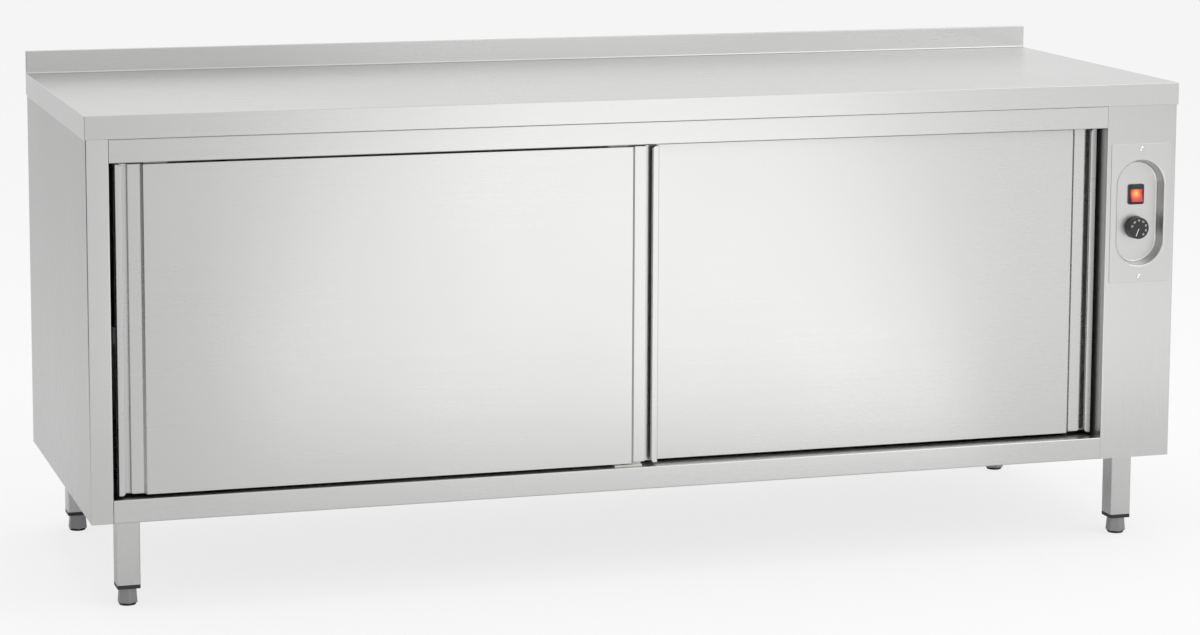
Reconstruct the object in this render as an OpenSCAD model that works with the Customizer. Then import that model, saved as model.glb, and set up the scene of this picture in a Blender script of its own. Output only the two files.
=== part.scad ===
// Heated plate cupboard: a stainless worktop on a double-walled body with two hanging sliding doors,
// a control column on the right and four levelling feet. Millimetres, +Z up, front towards -Y.
// The origin is on the floor under the middle of the worktop.

/* [Worktop] */
// Width over the worktop
width = 2000; // [1600:50:2400]
// Depth over the worktop
depth = 700; // [650:10:800]
// Height of the worktop above the floor with the feet screwed in
worktop_height = 850; // [820:5:900]
// Height of the worktop's folded edge
edge_h = 40; // [36:1:60]
// Width of the lip turned in under the folded edge
lip_w = 16; // [10:1:25]
// Outside radius of the worktop's bends
edge_r = 2.5; // [2:0.5:5]
// Height of the rear upstand above the worktop
upstand_h = 42; // [30:1:100]
// Depth of the hollow upstand, front to back
upstand_d = 12; // [8:1:20]
// Radius of the cove where the worktop turns up into the upstand
cove_r = 3; // [1:0.5:5]
// Thickness of the board under the worktop's sheet
core_t = 18; // [12:1:20]
// Number of steel stiffeners under the board
stiffener_count = 5; // [3:1:7]
// Width of a stiffener
stiffener_w = 60; // [40:5:100]

/* [Body] */
// How far the body stands back from the worktop's side edges
side_inset = 1.5; // [1:0.5:6]
// How far the body stands back from the worktop's front and back edges
front_inset = 3; // [3:0.5:8]
// Height of the body's underside above the floor
body_z = 157; // [130:1:180]
// Thickness of the outer sheets
sheet = 1.2; // [1:0.1:2]
// Inside radius of the bends in the sheets
bend_r = 1; // [0.5:0.1:1.5]
// Width of the front stile on the left
stile_w = 39; // [30:1:60]
// Width of the control column on the right
column_w = 138; // [134:1:180]
// Height of the rail over the doors
top_rail_h = 40.5; // [38:0.5:60]
// Height of the rail under the doors
bottom_rail_h = 40; // [30:1:60]
// Depth of the flanges that join the sheets
flange = 20; // [12:1:30]
// Depth of the stile's and column's return beside the doors
return_d = 12; // [8:1:20]
// Distance between the back panel and the inner back
back_gap = 24; // [15:1:40]
// Clearance of a slab or board that lies between sheets
slab_gap = 0.5; // [0.4:0.1:0.9]

/* [Doors] */
// How far the front door stands back from the body's front
door_setback = 8; // [7.5:0.5:15]
// Distance between the two doors' front faces
door_pitch = 23; // [23:0.5:30]
// Thickness of a door
door_t = 20; // [20:0.5:22]
// Thickness of the doors' sheets
door_sheet = 1; // [0.8:0.1:1.2]
// How far the doors overlap in the middle
door_overlap = 106; // [104:1:200]
// Gap between the closed left door and its stile
left_gap = 10.5; // [6:0.5:20]
// Gap between the closed right door and the column
right_gap = 6; // [4:0.5:15]
// Gap over the doors
over_gap = 4; // [3:0.5:6]
// Gap under the doors
under_gap = 5.5; // [4.5:0.5:8]

/* [Door grips] */
// Width of the pull lip at a door's edge
grip_lip_w = 11.5; // [10:0.5:14]
// Depth of the lip's inner return
grip_hem = 6; // [4:0.5:8]
// Distance from a door's edge to the far wall of the finger channel
grip_neck = 22; // [20:0.5:26]
// Depth of the finger channel
grip_depth = 16; // [13:0.5:17]
// Distance from a door's edge to its raised face
grip_margin = 48; // [42:1:60]
// Depth of the recessed strip beside the face
strip_depth = 5; // [3:0.5:5]
// Width of the slope between strip and face
strip_slope = 5; // [2:0.5:8]
// How far the strip ends above the door's lower edge
strip_lift = 2.5; // [1:0.5:5]
// Radius of the rounded ends of the lip
lip_end_r = 5; // [2:0.5:8]

/* [Sliding gear] */
// Radius of a roller
roller_r = 13; // [10:0.5:14]
// Width of a roller
roller_w = 7; // [5:0.5:7]
// Radius of the pin that a roller turns on
roller_pin_r = 3; // [2:0.5:4]
// Distance from a door's edge to its nearest roller
roller_inset = 70; // [60:1:120]
// Width of a hanger plate
hanger_w = 40; // [30:1:50]
// Thickness of a hanger plate
hanger_t = 2; // [1.5:0.5:3]
// How far a hanger reaches down into its door
hanger_reach = 35; // [20:1:60]
// Thickness of the track's sheet
track_t = 1.5; // [1.2:0.1:2]
// Length of a rubber end stop in the track
stop_l = 15; // [8:1:30]
// Length of the guide on the floor
guide_l = 50; // [30:1:60]
// Thickness of a guide fin
guide_fin_t = 6; // [4:0.5:6.5]
// Height of the guide channel in a door's lower edge
guide_channel_h = 12; // [10:0.5:20]

/* [Shelf] */
// Height of the shelf above the chamber's floor
shelf_rise = 286; // [150:1:400]
// Depth of the shelf's folded edge
shelf_edge = 30; // [20:1:40]
// Gap between the shelf and the walls beside it
shelf_gap = 12; // [10:0.5:20]
// Width of a slotted upright
upright_w = 24; // [20:1:40]
// Distance from the chamber's front and back to an upright
upright_inset = 138; // [60:1:200]
// Distance from an upright's slot to the next
slot_pitch = 40; // [30:1:60]

/* [Legs and feet] */
// Width of a square leg tube
leg_w = 40; // [36:1:50]
// Wall of a leg tube
leg_wall = 1.5; // [1.2:0.1:2.5]
// Distance from the worktop's side edge to a leg
leg_inset_x = 52; // [40:1:100]
// Distance from the worktop's front and back edges to a leg
leg_inset_y = 50; // [40:1:100]
// Height of the foot below the cap in a leg's end
foot_h = 30.5; // [28:0.5:40]
// Height of the rim of the cap in a leg's end
cap_h = 7; // [5:0.5:12]
// Width of the foot's hexagon across its flats, at the top
foot_top_w = 28; // [24:0.5:32]
// Width of the foot's hexagon across its flats, at the bottom
foot_base_w = 32; // [26:0.5:38]
// Thickness of the foot's sole
sole_h = 4; // [3:0.5:8]
// Radius of the foot's threaded stem
stem_r = 5; // [4:0.5:6]
// How far a foot screws out
foot_travel = 50; // [30:1:50]

/* [Controls] */
// Width of the control plate
plate_w = 120; // [110:1:130]
// Height of the control plate
plate_h = 256; // [240:1:300]
// Thickness of the control plate
plate_t = 1.2; // [1:0.1:1.5]
// Distance from the worktop's folded edge down to the control plate's centre
plate_drop = 198; // [170:1:300]
// Width of the plate's recess
recess_w = 93.5; // [88:0.5:100]
// Height of the plate's recess
recess_h = 194; // [180:1:220]
// Depth of the plate's recess
recess_d = 20; // [18:0.5:26]
// How far the recess narrows on each side towards its floor
recess_draft = 4.5; // [2:0.5:6]
// Radius of the control screws' heads
plate_screw_r = 5; // [3:0.5:6]
// Distance from the plate's centre to a control screw
plate_screw_z = 118; // [110:1:122]
// Radius of the thermostat knob
knob_r = 20.7; // [16:0.1:24]
// Depth of the thermostat knob
knob_d = 18; // [12:0.5:18]
// Distance from the plate's centre down to the knob's axis
knob_drop = 29; // [24:1:34]
// Distance from the plate's centre up to the switch's centre
switch_rise = 32; // [26:1:40]
// Width of the switch's bezel
switch_w = 31.5; // [28:0.5:36]
// Height of the switch's bezel
switch_h = 37.5; // [36:0.5:44]
// Tilt of the rocker either way from level
rocker_tilt = 8; // [5:0.5:8]

/* [Heater] */
// Side of the square fan housing
fan_box = 240; // [220:5:260]
// Depth of the fan housing
fan_box_d = 55; // [50:1:60]
// Outer radius of the fan's rotor
rotor_r = 70; // [50:1:75]
// Width of the fan's blades
blade_w = 30; // [20:1:34]
// Number of fan blades
blade_count = 12; // [6:1:16]
// Radius of the heating element's rings
element_r = 96; // [90:1:100]
// Radius of the heating element's tube
element_tube_r = 4.2; // [3:0.1:5]
// Radius of the fan motor
motor_r = 36; // [30:1:45]
// Length of the fan motor
motor_l = 52; // [40:1:60]
// Radius of the fan's shaft
fan_shaft_r = 4; // [3:0.5:5]
// Radius of the cable gland's bore
gland_bore_r = 5; // [3:0.5:6]
// Distance from the body's back to the cable gland
gland_back = 180; // [150:5:240]

/* [Hidden] */
$fn = 48;

// Clearances: a running fit on a pin, a flat piece beside another, and a cut that passes a face
RUN = 0.05;
SIDE = 0.3;
CUT = 1;
// Straight steps in a bend's quarter turn
BEND_STEPS = 4;
// Thickness of the plates over the legs
socket_plate_t = 3;
// Fine chamfer on small turned pieces, and gap beside pieces that are put in loosely
CHAMFER = 0.8;
LOOSE = 0.5;

half_w = width / 2;
half_d = depth / 2;
body_l = -half_w + side_inset;
body_r = half_w - side_inset;
body_f = -half_d + front_inset;
body_b = half_d - front_inset;
edge_z = worktop_height - edge_h;
top_z = worktop_height + upstand_h;
board_z = worktop_height - sheet - core_t;
// The door opening
open_l = body_l + stile_w;
open_r = body_r - column_w;
open_b = body_z + bottom_rail_h;
open_t = edge_z - top_rail_h;
// Inside faces of the double wall
pan_z = body_z + sheet;
wall_z0 = pan_z + sheet;
frame_z = wall_z0 + socket_plate_t;
wall_z1 = edge_z - sheet;
wall_y0 = body_f + return_d;
back_y = body_b - 2 * sheet;
liner_y = back_y - back_gap;

door_w = (open_r - open_l - left_gap - right_gap + door_overlap) / 2;
door_z0 = open_b + under_gap;
door_z1 = open_t - over_gap;
left_door_x = open_l + left_gap;
right_door_x = open_r - right_gap - door_w;
left_door_y = body_f + door_setback;
right_door_y = left_door_y + door_pitch;

// Sliding gear, measured back from a door's front face
hanger_y = 12;
roller_y = hanger_y + hanger_t + SIDE;
pin_head_t = 1.1;
pin_head_r = roller_pin_r + 2;
web_y = roller_y + roller_w + 2 * SIDE + pin_head_t;
ledge_y = hanger_y + hanger_t + 2 * SIDE;
ledge_z = door_z1 + over_gap + track_t;
axle_z = ledge_z + SIDE + roller_r;
track_end_y = left_door_y + door_pitch + web_y + track_t;
roof_y = track_end_y + bend_r + SIDE;
roof_z = open_t - track_t;
// Guide in a door's lower edge
channel_y0 = strip_depth + door_sheet;
channel_y1 = door_t - door_sheet;
channel_mid = (channel_y0 + channel_y1) / 2;
guide_slot = guide_fin_t + 1;
guide_crown = 3;
guide_slot_h = guide_channel_h - guide_crown;
guide_base_h = 3;
guide_reach = 6;
overlap_x = (right_door_x + left_door_x + door_w) / 2;

column_x = (open_r + body_r) / 2;
plate_z = edge_z - plate_drop;
recess_y = body_f + recess_d;
recess_back = recess_y + plate_t;
knob_z = plate_z - knob_drop;
switch_z = plate_z + switch_rise;
knob_shaft_r = 3;
screw_r = 2;
bezel_t = 3;
switch_wall = 1.25;
bezel_side_w = 4.1;
bezel_end_h = 2.65;
rocker_w = switch_w - 2 * bezel_side_w;
rocker_h = switch_h - 2 * bezel_end_h;
rocker_axle_d = 9;
rocker_axle_r = 1.5;
rocker_axle_l = 0.8;
rocker_y = recess_y - bezel_t + rocker_axle_d;
thermostat_w = 44;
thermostat_d = 32;
shaft_socket_d = 22;
knob_wall = 4;
tab_w = 6;
tab_t = 0.8;
tab_l = 9;
bulb_y = -120;
bulb_r = 4;
bulb_l = 90;
capillary_r = 1.2;
capillary_drop = 12;

leg_x = half_w - leg_inset_x - leg_w / 2;
leg_y = half_d - leg_inset_y - leg_w / 2;
leg_spots = [[-leg_x, -leg_y], [leg_x, -leg_y], [-leg_x, leg_y], [leg_x, leg_y]];
leg_z = foot_h + cap_h;
leg_bore = leg_w - 2 * leg_wall;
plug_w = leg_bore - 2 * LOOSE;
plug_h = 22;
socket_plate_w = 84;

shelf_z = open_b + shelf_rise;
shelf_end_gap = 4;
shelf_front = roof_y + shelf_end_gap;
upright_d = 8;
upright_ys = [wall_y0 + upright_inset, liner_y - upright_inset];
partition_x1 = open_r + sheet;
fan_y = 60;
fan_z = (open_b + roof_z) / 2;
fan_hub_r = 16;
motor_plate_t = 3;
motor_x = fan_box_d + motor_plate_t;
element_z = -element_r;
element_stub_ys = [-12, 12];
terminal_l = 70;
terminal_h = 24;
terminal_d = 18;
terminal_poles = 5;
terminal_back = 45;
terminal_rise = 30;
gland_at = [column_x, body_b - gland_back, pan_z];
gland_thread_r = 8;
gland_drop = 20;

// ---- Shared forms ----

module box(a, b) translate(a) cube(b - a);

// A flat outline drawn over y and z, drawn out along x, and one drawn over x and z along y
module along_x(x0, x1) translate([x0, 0, 0]) rotate([90, 0, 90]) linear_extrude(x1 - x0) children();
module along_y(y0, y1) translate([0, y1, 0]) rotate([90, 0, 0]) linear_extrude(y1 - y0) children();
module along_z(z0, z1) translate([0, 0, z0]) linear_extrude(z1 - z0) children();
module cylinder_y(r, y0, y1) translate([0, y1, 0]) rotate([90, 0, 0]) cylinder(r = r, h = y1 - y0);
module cylinder_x(r, x0, x1) translate([x0, 0, 0]) rotate([0, 90, 0]) cylinder(r = r, h = x1 - x0);

function unit(v) = v / norm(v);
function left_of(v) = [-v[1], v[0]];
function turned(v, a) = [v[0] * cos(a) - v[1] * sin(a), v[0] * sin(a) + v[1] * cos(a)];
function reversed(list) = [for (i = [len(list) - 1:-1:0]) list[i]];
function heading(path, i) = unit(path[i + 1] - path[i]);
function arc(c, r, a0, a1) = [
    for (k = [0:BEND_STEPS]) c + r * turned([1, 0], a0 + (a1 - a0) * k / BEND_STEPS)
];

// A path's point moved d to the left, along the mitre of the two legs that meet there
function mitred(path, i, d) =
    let (a = left_of(heading(path, max(i - 1, 0))))
    let (b = left_of(heading(path, min(i, len(path) - 2))))
    path[i] + (a + b) * d / (1 + a * b);

// One face of a sheet's bend at point i of its middle line; side is 1 on the left, -1 on the right
function bend(mid, i, t, side) =
    let (way = heading(mid, i - 1))
    let (next = heading(mid, i))
    let (turn = atan2(way[0] * next[1] - way[1] * next[0], way * next))
    let (r = (bend_r + t / 2) * sign(turn))
    let (centre = mid[i] - way * abs(r) * tan(abs(turn) / 2) + left_of(way) * r)
    [for (k = [0:BEND_STEPS]) centre - turned(left_of(way), turn * k / BEND_STEPS) * (r - side * t / 2)];

function face_of(mid, t, side) =
    let (last = len(mid) - 1)
    concat(
        [mid[0] + left_of(heading(mid, 0)) * side * t / 2],
        [for (i = [1:1:last - 1]) each bend(mid, i, t, side)],
        [mid[last] + left_of(heading(mid, last - 1)) * side * t / 2]
    );

// Outline of a folded sheet whose outer face follows the path. The sheet lies to the left of the
// path, or to its right where t is negative.
function folded(path, t) =
    let (mid = [for (i = [0:len(path) - 1]) mitred(path, i, t / 2)])
    concat(face_of(mid, abs(t), 1), reversed(face_of(mid, abs(t), -1)));

module folded_sheet(path, t) polygon(folded(path, t));

module stadium(w, h) {
    square([w, h - w], center = true);
    for (s = [-1, 1]) translate([0, s * (h - w) / 2]) circle(d = w, $fn = 96);
}

// ---- Worktop ----

module pan_form(inset) {
    w = half_w - inset;
    d = half_d - inset;
    z1 = worktop_height - inset;
    r = edge_r - inset;
    intersection() {
        along_y(-d, d) polygon(concat(
            [[-w, edge_z + inset], [w, edge_z + inset]],
            arc([w - r, z1 - r], r, 0, 90),
            arc([-w + r, z1 - r], r, 90, 180)
        ));
        along_x(-w, w) polygon(concat(
            [[d, edge_z + inset], [d, z1]],
            arc([-d + r, z1 - r], r, 90, 180),
            [[-d, edge_z + inset]]
        ));
    }
}

module upstand_form(inset) {
    w = half_w - inset;
    y0 = half_d - upstand_d + inset;
    y1 = half_d - inset;
    z0 = worktop_height - inset;
    z1 = top_z - inset;
    r = edge_r - inset;
    cove = [half_d - upstand_d - cove_r, worktop_height + cove_r];
    along_x(-w, w) {
        polygon(concat([[y1, z0 - CUT], [y1, z1]], arc([y0 + r, z1 - r], r, 90, 180), [[y0, z0 - CUT]]));
        polygon(concat(
            [[y0 + CUT, z0 - CUT], [y0 + CUT, z0 + cove_r]],
            arc(cove, cove_r + inset, 0, -90),
            [[cove[0], z0 - CUT]]
        ));
    }
}

module worktop() {
    color("gainsboro")
    difference() {
        union() {
            pan_form(0);
            upstand_form(0);
        }
        pan_form(sheet);
        upstand_form(sheet);
        box(
            [-half_w + lip_w, -half_d + lip_w, edge_z - CUT],
            [half_w - lip_w, half_d - lip_w, edge_z + sheet + CUT]
        );
    }
}

module worktop_core() {
    color("tan")
    box(
        [-half_w + edge_r + slab_gap, -half_d + edge_r + slab_gap, board_z],
        [half_w - edge_r - slab_gap, half_d - upstand_d - cove_r - slab_gap, worktop_height - sheet]
    );
}

// Top-hat profiles that stand on the worktop's lips and carry the board
module worktop_stiffeners() {
    brim = 12;
    z0 = edge_z + sheet;
    hat = stiffener_w / 2;
    color("silver")
    for (i = [1:stiffener_count]) {
        x = -half_w + i * width / (stiffener_count + 1);
        along_y(-half_d + sheet + slab_gap, half_d - sheet - slab_gap)
        translate([x, 0])
        folded_sheet([
            [-hat - brim, z0 + sheet], [-hat, z0 + sheet], [-hat, board_z],
            [hat, board_z], [hat, z0 + sheet], [hat + brim, z0 + sheet]
        ], -sheet);
    }
}

// ---- Body ----

module side_flanges(x0, x1) {
    for (z = [body_z, edge_z - sheet])
        box([x0, body_f + sheet / 2, z], [x1, body_b - sheet / 2, z + sheet]);
}

module left_side_panel() {
    color("silver") {
        along_z(body_z, edge_z) folded_sheet([
            [body_l + flange, body_b], [body_l, body_b], [body_l, body_f],
            [open_l, body_f], [open_l, wall_y0]
        ], sheet);
        side_flanges(body_l + sheet / 2, body_l + flange);
    }
}

// The right side and the control column's front are one folded sheet
module right_side_panel() {
    window_grow = 2 * (plate_t + LOOSE);
    color("silver")
    difference() {
        union() {
            along_z(body_z, edge_z) folded_sheet([
                [open_r, wall_y0], [open_r, body_f], [body_r, body_f],
                [body_r, body_b], [body_r - flange, body_b]
            ], sheet);
            side_flanges(body_r - flange, body_r - sheet / 2);
            for (z = [body_z, edge_z - sheet])
                box([open_r + sheet, body_f + sheet / 2, z], [body_r - sheet, body_f + flange, z + sheet]);
        }
        translate([column_x, 0, plate_z]) {
            along_y(body_f - CUT, body_f + sheet + CUT)
            stadium(recess_w + window_grow, recess_h + window_grow);
            at_plate_screws() cylinder_y(screw_r + RUN, body_f - CUT, body_f + sheet + CUT);
        }
    }
}

module top_rail() {
    door_gap = 1.5;
    color("silver")
    along_x(open_l, open_r) folded_sheet([
        [track_end_y, edge_z], [body_f, edge_z], [body_f, open_t], [body_f + door_setback - door_gap, open_t]
    ], sheet);
}

// The chamber's floor folds down in front as the bottom rail
module floor_pan() {
    color("silver") {
        along_x(open_l, open_r) folded_sheet([
            [liner_y, frame_z], [liner_y, open_b],
            [body_f, open_b], [body_f, body_z], [body_f + flange, body_z]
        ], sheet);
        for (x = [open_l, open_r - sheet])
            box([x, body_f + flange, frame_z], [x + sheet, liner_y - sheet / 2, open_b - sheet / 2]);
    }
}

module underside_pan() {
    hole = plug_w + 2 * LOOSE;
    color("darkgray")
    difference() {
        box(
            [body_l + sheet + slab_gap, wall_y0 + slab_gap, pan_z],
            [body_r - sheet - slab_gap, body_b - sheet - slab_gap, wall_z0]
        );
        at_legs() box([-hole / 2, -hole / 2, pan_z - CUT], [hole / 2, hole / 2, wall_z0 + CUT]);
        translate(gland_at) cylinder(r = gland_thread_r + SIDE, h = 3 * CUT + sheet, center = true);
    }
}

module back_panel() {
    color("darkgray")
    box([body_l + sheet + bend_r, back_y, wall_z0], [body_r - sheet - bend_r, back_y + sheet, wall_z1]);
}

module back_liner() {
    color("silver")
    box([open_l, liner_y, frame_z], [open_r, liner_y + sheet, wall_z1]);
}

module left_liner() {
    color("silver")
    box([open_l - sheet, wall_y0, frame_z], [open_l, back_y, wall_z1]);
}

// Wall between chamber and heater: a slotted inlet over the fan, outlets above and below it
module service_partition() {
    slot_h = 6;
    inlet_w = 110;
    outlet_w = 190;
    outlet_z = fan_box / 2 - 22;
    color("silver")
    difference() {
        box([open_r, wall_y0, frame_z], [partition_x1, back_y, wall_z1]);
        for (k = [-4:4]) air_slot(inlet_w, slot_h, k * 2 * slot_h);
        for (s = [-1, 1], k = [0:1]) air_slot(outlet_w, slot_h, s * (outlet_z - k * 2 * slot_h));
        translate([open_r - CUT, bulb_y, knob_z]) cylinder_x(capillary_r + SIDE, 0, sheet + 2 * CUT);
    }
}

module air_slot(w, h, z) {
    translate([open_r - CUT, fan_y, fan_z + z]) box([0, -w / 2, -h / 2], [sheet + 2 * CUT, w / 2, h / 2]);
}

module roof_liner() {
    color("silver")
    along_x(open_l, open_r) folded_sheet([
        [roof_y, wall_z1], [roof_y, roof_z], [liner_y, roof_z]
    ], sheet);
}

// Slabs in the left wall, over the roof, under the floor and behind the back
module insulation_slabs() {
    g = slab_gap;
    color("khaki") {
        box(
            [body_l + sheet + g, body_f + sheet + g, frame_z + g],
            [open_l - sheet - g, back_y - g, wall_z1 - g]
        );
        box([open_l + g, roof_y + sheet + g, roof_z + sheet + g], [open_r - g, liner_y - g, edge_z]);
        box(
            [open_l + sheet + g, body_f + flange + g, frame_z + g],
            [open_r - sheet - g, liner_y - sheet - g, open_b - sheet - g]
        );
        box([open_l + g, liner_y + sheet + g, frame_z + g], [open_r - g, back_y - g, wall_z1 - g]);
    }
}

// ---- Sliding gear on the cabinet ----

// Two J-shaped ledges under one web: the rollers run on the ledges
module upper_track() {
    top = edge_z - sheet;
    color("lightslategray")
    translate([0, left_door_y, 0])
    along_x(open_l, open_r) folded_sheet([
        [ledge_y, ledge_z], [web_y, ledge_z], [web_y, top],
        [web_y + door_pitch + track_t, top],
        [web_y + door_pitch + track_t, ledge_z - track_t],
        [ledge_y + door_pitch, ledge_z - track_t]
    ], -track_t);
}

module track_stops() {
    color("dimgray")
    for (y = [left_door_y, right_door_y]) {
        left_x = left_door_x + roller_inset - roller_r - SIDE;
        right_x = right_door_x + door_w - roller_inset + roller_r + SIDE;
        for (x = [left_x - stop_l, right_x])
            box([x, y + ledge_y, ledge_z], [x + stop_l, y + web_y - bend_r, axle_z + roller_r / 2]);
    }
}

module lower_guide() {
    base_y = 2;
    l = guide_l / 2;
    fin = guide_fin_t / 2;
    color("whitesmoke")
    translate([overlap_x, left_door_y, 0]) {
        box([-l, base_y, open_b], [l, door_pitch + door_t, open_b + guide_base_h]);
        for (y = [0, door_pitch])
            translate([0, y + channel_mid, 0])
            box([-l, -fin, open_b], [l, fin, door_z0 + guide_reach]);
    }
}

// ---- Shelf ----

module shelf() {
    x0 = open_l + shelf_gap;
    x1 = open_r - shelf_gap;
    y0 = shelf_front;
    y1 = liner_y - shelf_end_gap;
    rim = 10;
    color("gainsboro") {
        along_x(x0, x1) folded_sheet([
            [y1 - rim, shelf_z - shelf_edge], [y1, shelf_z - shelf_edge], [y1, shelf_z],
            [y0, shelf_z], [y0, shelf_z - shelf_edge], [y0 + rim, shelf_z - shelf_edge]
        ], sheet);
        for (x = [x0, x1 - sheet])
            box([x, y0 + sheet / 2, shelf_z - shelf_edge], [x + sheet, y1 - sheet / 2, shelf_z - sheet / 2]);
    }
}

module at_uprights() {
    for (y = upright_ys) {
        translate([open_l, y, 0]) children();
        translate([open_r, y, 0]) mirror([1, 0, 0]) children();
    }
}

// Slotted U-profiles on the side walls; clips hook into their slots at any height
module shelf_uprights() {
    slot_side = 8;
    slots = floor((roof_z - open_b) / slot_pitch) - 1;
    color("gainsboro")
    at_uprights()
    difference() {
        along_z(open_b, roof_z) folded_sheet([
            [0, -upright_w / 2], [upright_d, -upright_w / 2], [upright_d, upright_w / 2], [0, upright_w / 2]
        ], sheet);
        for (k = [0:slots - 1])
            translate([upright_d, 0, open_b + slot_pitch / 2 + k * slot_pitch])
            box([-sheet - CUT, -slot_side / 2, 0], [CUT, slot_side / 2, slot_side]);
    }
}

// Angles that hang on the uprights and reach under the shelf's edge
module shelf_clips() {
    under = shelf_z - shelf_edge;
    half = 8;
    drop = 14;
    reach = 10;
    color("gainsboro")
    at_uprights() {
        box([upright_d, -half, under - drop], [upright_d + sheet, half, under]);
        box([upright_d, -half, under - sheet], [shelf_gap + reach, half, under]);
    }
}

// ---- Legs and feet ----

module at_legs() {
    for (spot = leg_spots) translate(spot) children();
}

module square_tube(w, wall, z0, z1) {
    along_z(z0, z1)
    difference() {
        square(w, center = true);
        square(w - 2 * wall, center = true);
    }
}

module legs() {
    color("silver") at_legs() square_tube(leg_w, leg_wall, leg_z, pan_z);
}

// A plate inside the base with a stub that the leg tube slides over
module leg_sockets() {
    stub_h = 55;
    stub_wall = 2;
    color("darkgray")
    at_legs() {
        square_tube(plug_w, stub_wall, pan_z - stub_h, wall_z0 + sheet);
        along_z(wall_z0, wall_z0 + socket_plate_t)
        difference() {
            square(socket_plate_w, center = true);
            square(plug_w - 2 * stub_wall, center = true);
        }
    }
}

module leg_caps() {
    color("dimgray")
    at_legs()
    difference() {
        union() {
            along_z(foot_h, leg_z) square(leg_w, center = true);
            along_z(leg_z, leg_z + plug_h) square(plug_w, center = true);
        }
        translate([0, 0, foot_h - CUT]) cylinder(r = stem_r + RUN, h = cap_h + plug_h + 2 * CUT);
    }
}

// Tapered hexagon cut from three crossed wedges
module tapered_hexagon(w0, w1, z0, z1) {
    intersection() {
        wedge(w0, w1, z0, z1);
        rotate(60) wedge(w0, w1, z0, z1);
        rotate(120) wedge(w0, w1, z0, z1);
    }
}

module wedge(w0, w1, z0, z1) {
    along_y(-w0, w0) polygon([[-w0 / 2, z0], [w0 / 2, z0], [w1 / 2, z1], [-w1 / 2, z1]]);
}

module foot(spot) {
    stem_top = leg_z + plug_h / 2 + foot_travel;
    color("gray")
    translate(spot) {
        tapered_hexagon(foot_base_w, foot_top_w, sole_h, foot_h);
        translate([0, 0, foot_h - CUT]) cylinder(r = stem_r, h = stem_top - foot_h);
    }
}

module sole(spot) {
    r = foot_base_w / 2;
    taper = 2;
    color("black")
    translate(spot) cylinder(r1 = r - taper, r2 = r, h = sole_h);
}

module front_left_foot() foot(leg_spots[0]);
module front_right_foot() foot(leg_spots[1]);
module rear_left_foot() foot(leg_spots[2]);
module rear_right_foot() foot(leg_spots[3]);
module front_left_sole() sole(leg_spots[0]);
module front_right_sole() sole(leg_spots[1]);
module rear_left_sole() sole(leg_spots[2]);
module rear_right_sole() sole(leg_spots[3]);

// ---- Controls ----

// Stadium that narrows towards the back: two cones and a wedge between them
module recess_form(grow, depth_y) {
    w0 = recess_w / 2 + grow;
    w1 = recess_w / 2 - recess_draft + grow;
    h = (recess_h - recess_w) / 2;
    for (s = [-1, 1])
        translate([0, depth_y, s * h]) rotate([90, 0, 0]) cylinder(r1 = w1, r2 = w0, h = depth_y, $fn = 96);
    along_z(-h, h) polygon([[-w0, 0], [w0, 0], [w1, depth_y], [-w1, depth_y]]);
}

module at_plate_screws() {
    for (s = [-1, 1]) translate([0, 0, s * plate_screw_z]) children();
}

module control_plate() {
    floor_y0 = recess_d - 2 * CUT;
    floor_y1 = recess_d + plate_t + CUT;
    color("lightgray")
    translate([column_x, body_f, plate_z])
    difference() {
        union() {
            box([-plate_w / 2, -plate_t, -plate_h / 2], [plate_w / 2, 0, plate_h / 2]);
            recess_form(plate_t, recess_d + plate_t);
        }
        translate([0, -plate_t, 0]) recess_form(0, recess_d + plate_t);
        translate([0, 0, -knob_drop]) cylinder_y(knob_shaft_r + 2 * LOOSE, floor_y0, floor_y1);
        translate([0, 0, switch_rise]) switch_body(SIDE, floor_y0, floor_y1);
        at_plate_screws() cylinder_y(screw_r + RUN, -plate_t - CUT, CUT);
    }
}

module control_screws() {
    dome_h = 1.7;
    dome_r = (plate_screw_r * plate_screw_r + dome_h * dome_h) / (2 * dome_h);
    shank_l = 10;
    color("silver")
    translate([column_x, body_f - plate_t, plate_z])
    at_plate_screws() {
        intersection() {
            translate([0, dome_r - dome_h, 0]) sphere(r = dome_r);
            cylinder_y(plate_screw_r, -dome_h, 0);
        }
        cylinder_y(screw_r, -dome_h / 4, shank_l);
    }
}

module switch_body(grow, y0, y1) {
    w = rocker_w / 2 + SIDE + switch_wall + grow;
    h = rocker_h / 2 + switch_wall + grow;
    box([-w, y0, -h], [w, y1, h]);
}

// Connecting tab, flat over z, that starts a little way inside the piece that carries it
module tab(y) box([-tab_w / 2, y - CUT, -tab_t / 2], [tab_w / 2, y + tab_l, tab_t / 2]);

module switch_housing() {
    body_d = 24;
    tab_pitch = 8;
    pocket_w = rocker_w / 2 + SIDE;
    pivot = rocker_y - body_f;
    pocket_d = pivot + 5;
    axle_end = pocket_w + rocker_axle_l + 0.1;
    color("black")
    translate([column_x, body_f, switch_z])
    difference() {
        union() {
            box([-switch_w / 2, recess_d - bezel_t, -switch_h / 2], [switch_w / 2, recess_d, switch_h / 2]);
            switch_body(0, recess_d - CUT, recess_d + body_d);
            for (k = [-1:1]) translate([0, 0, k * tab_pitch]) tab(recess_d + body_d);
        }
        box([-pocket_w, recess_d - bezel_t - CUT, -rocker_h / 2], [pocket_w, pocket_d, rocker_h / 2]);
        translate([0, pivot, 0]) cylinder_x(rocker_axle_r + RUN, -axle_end, axle_end);
    }
}

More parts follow.
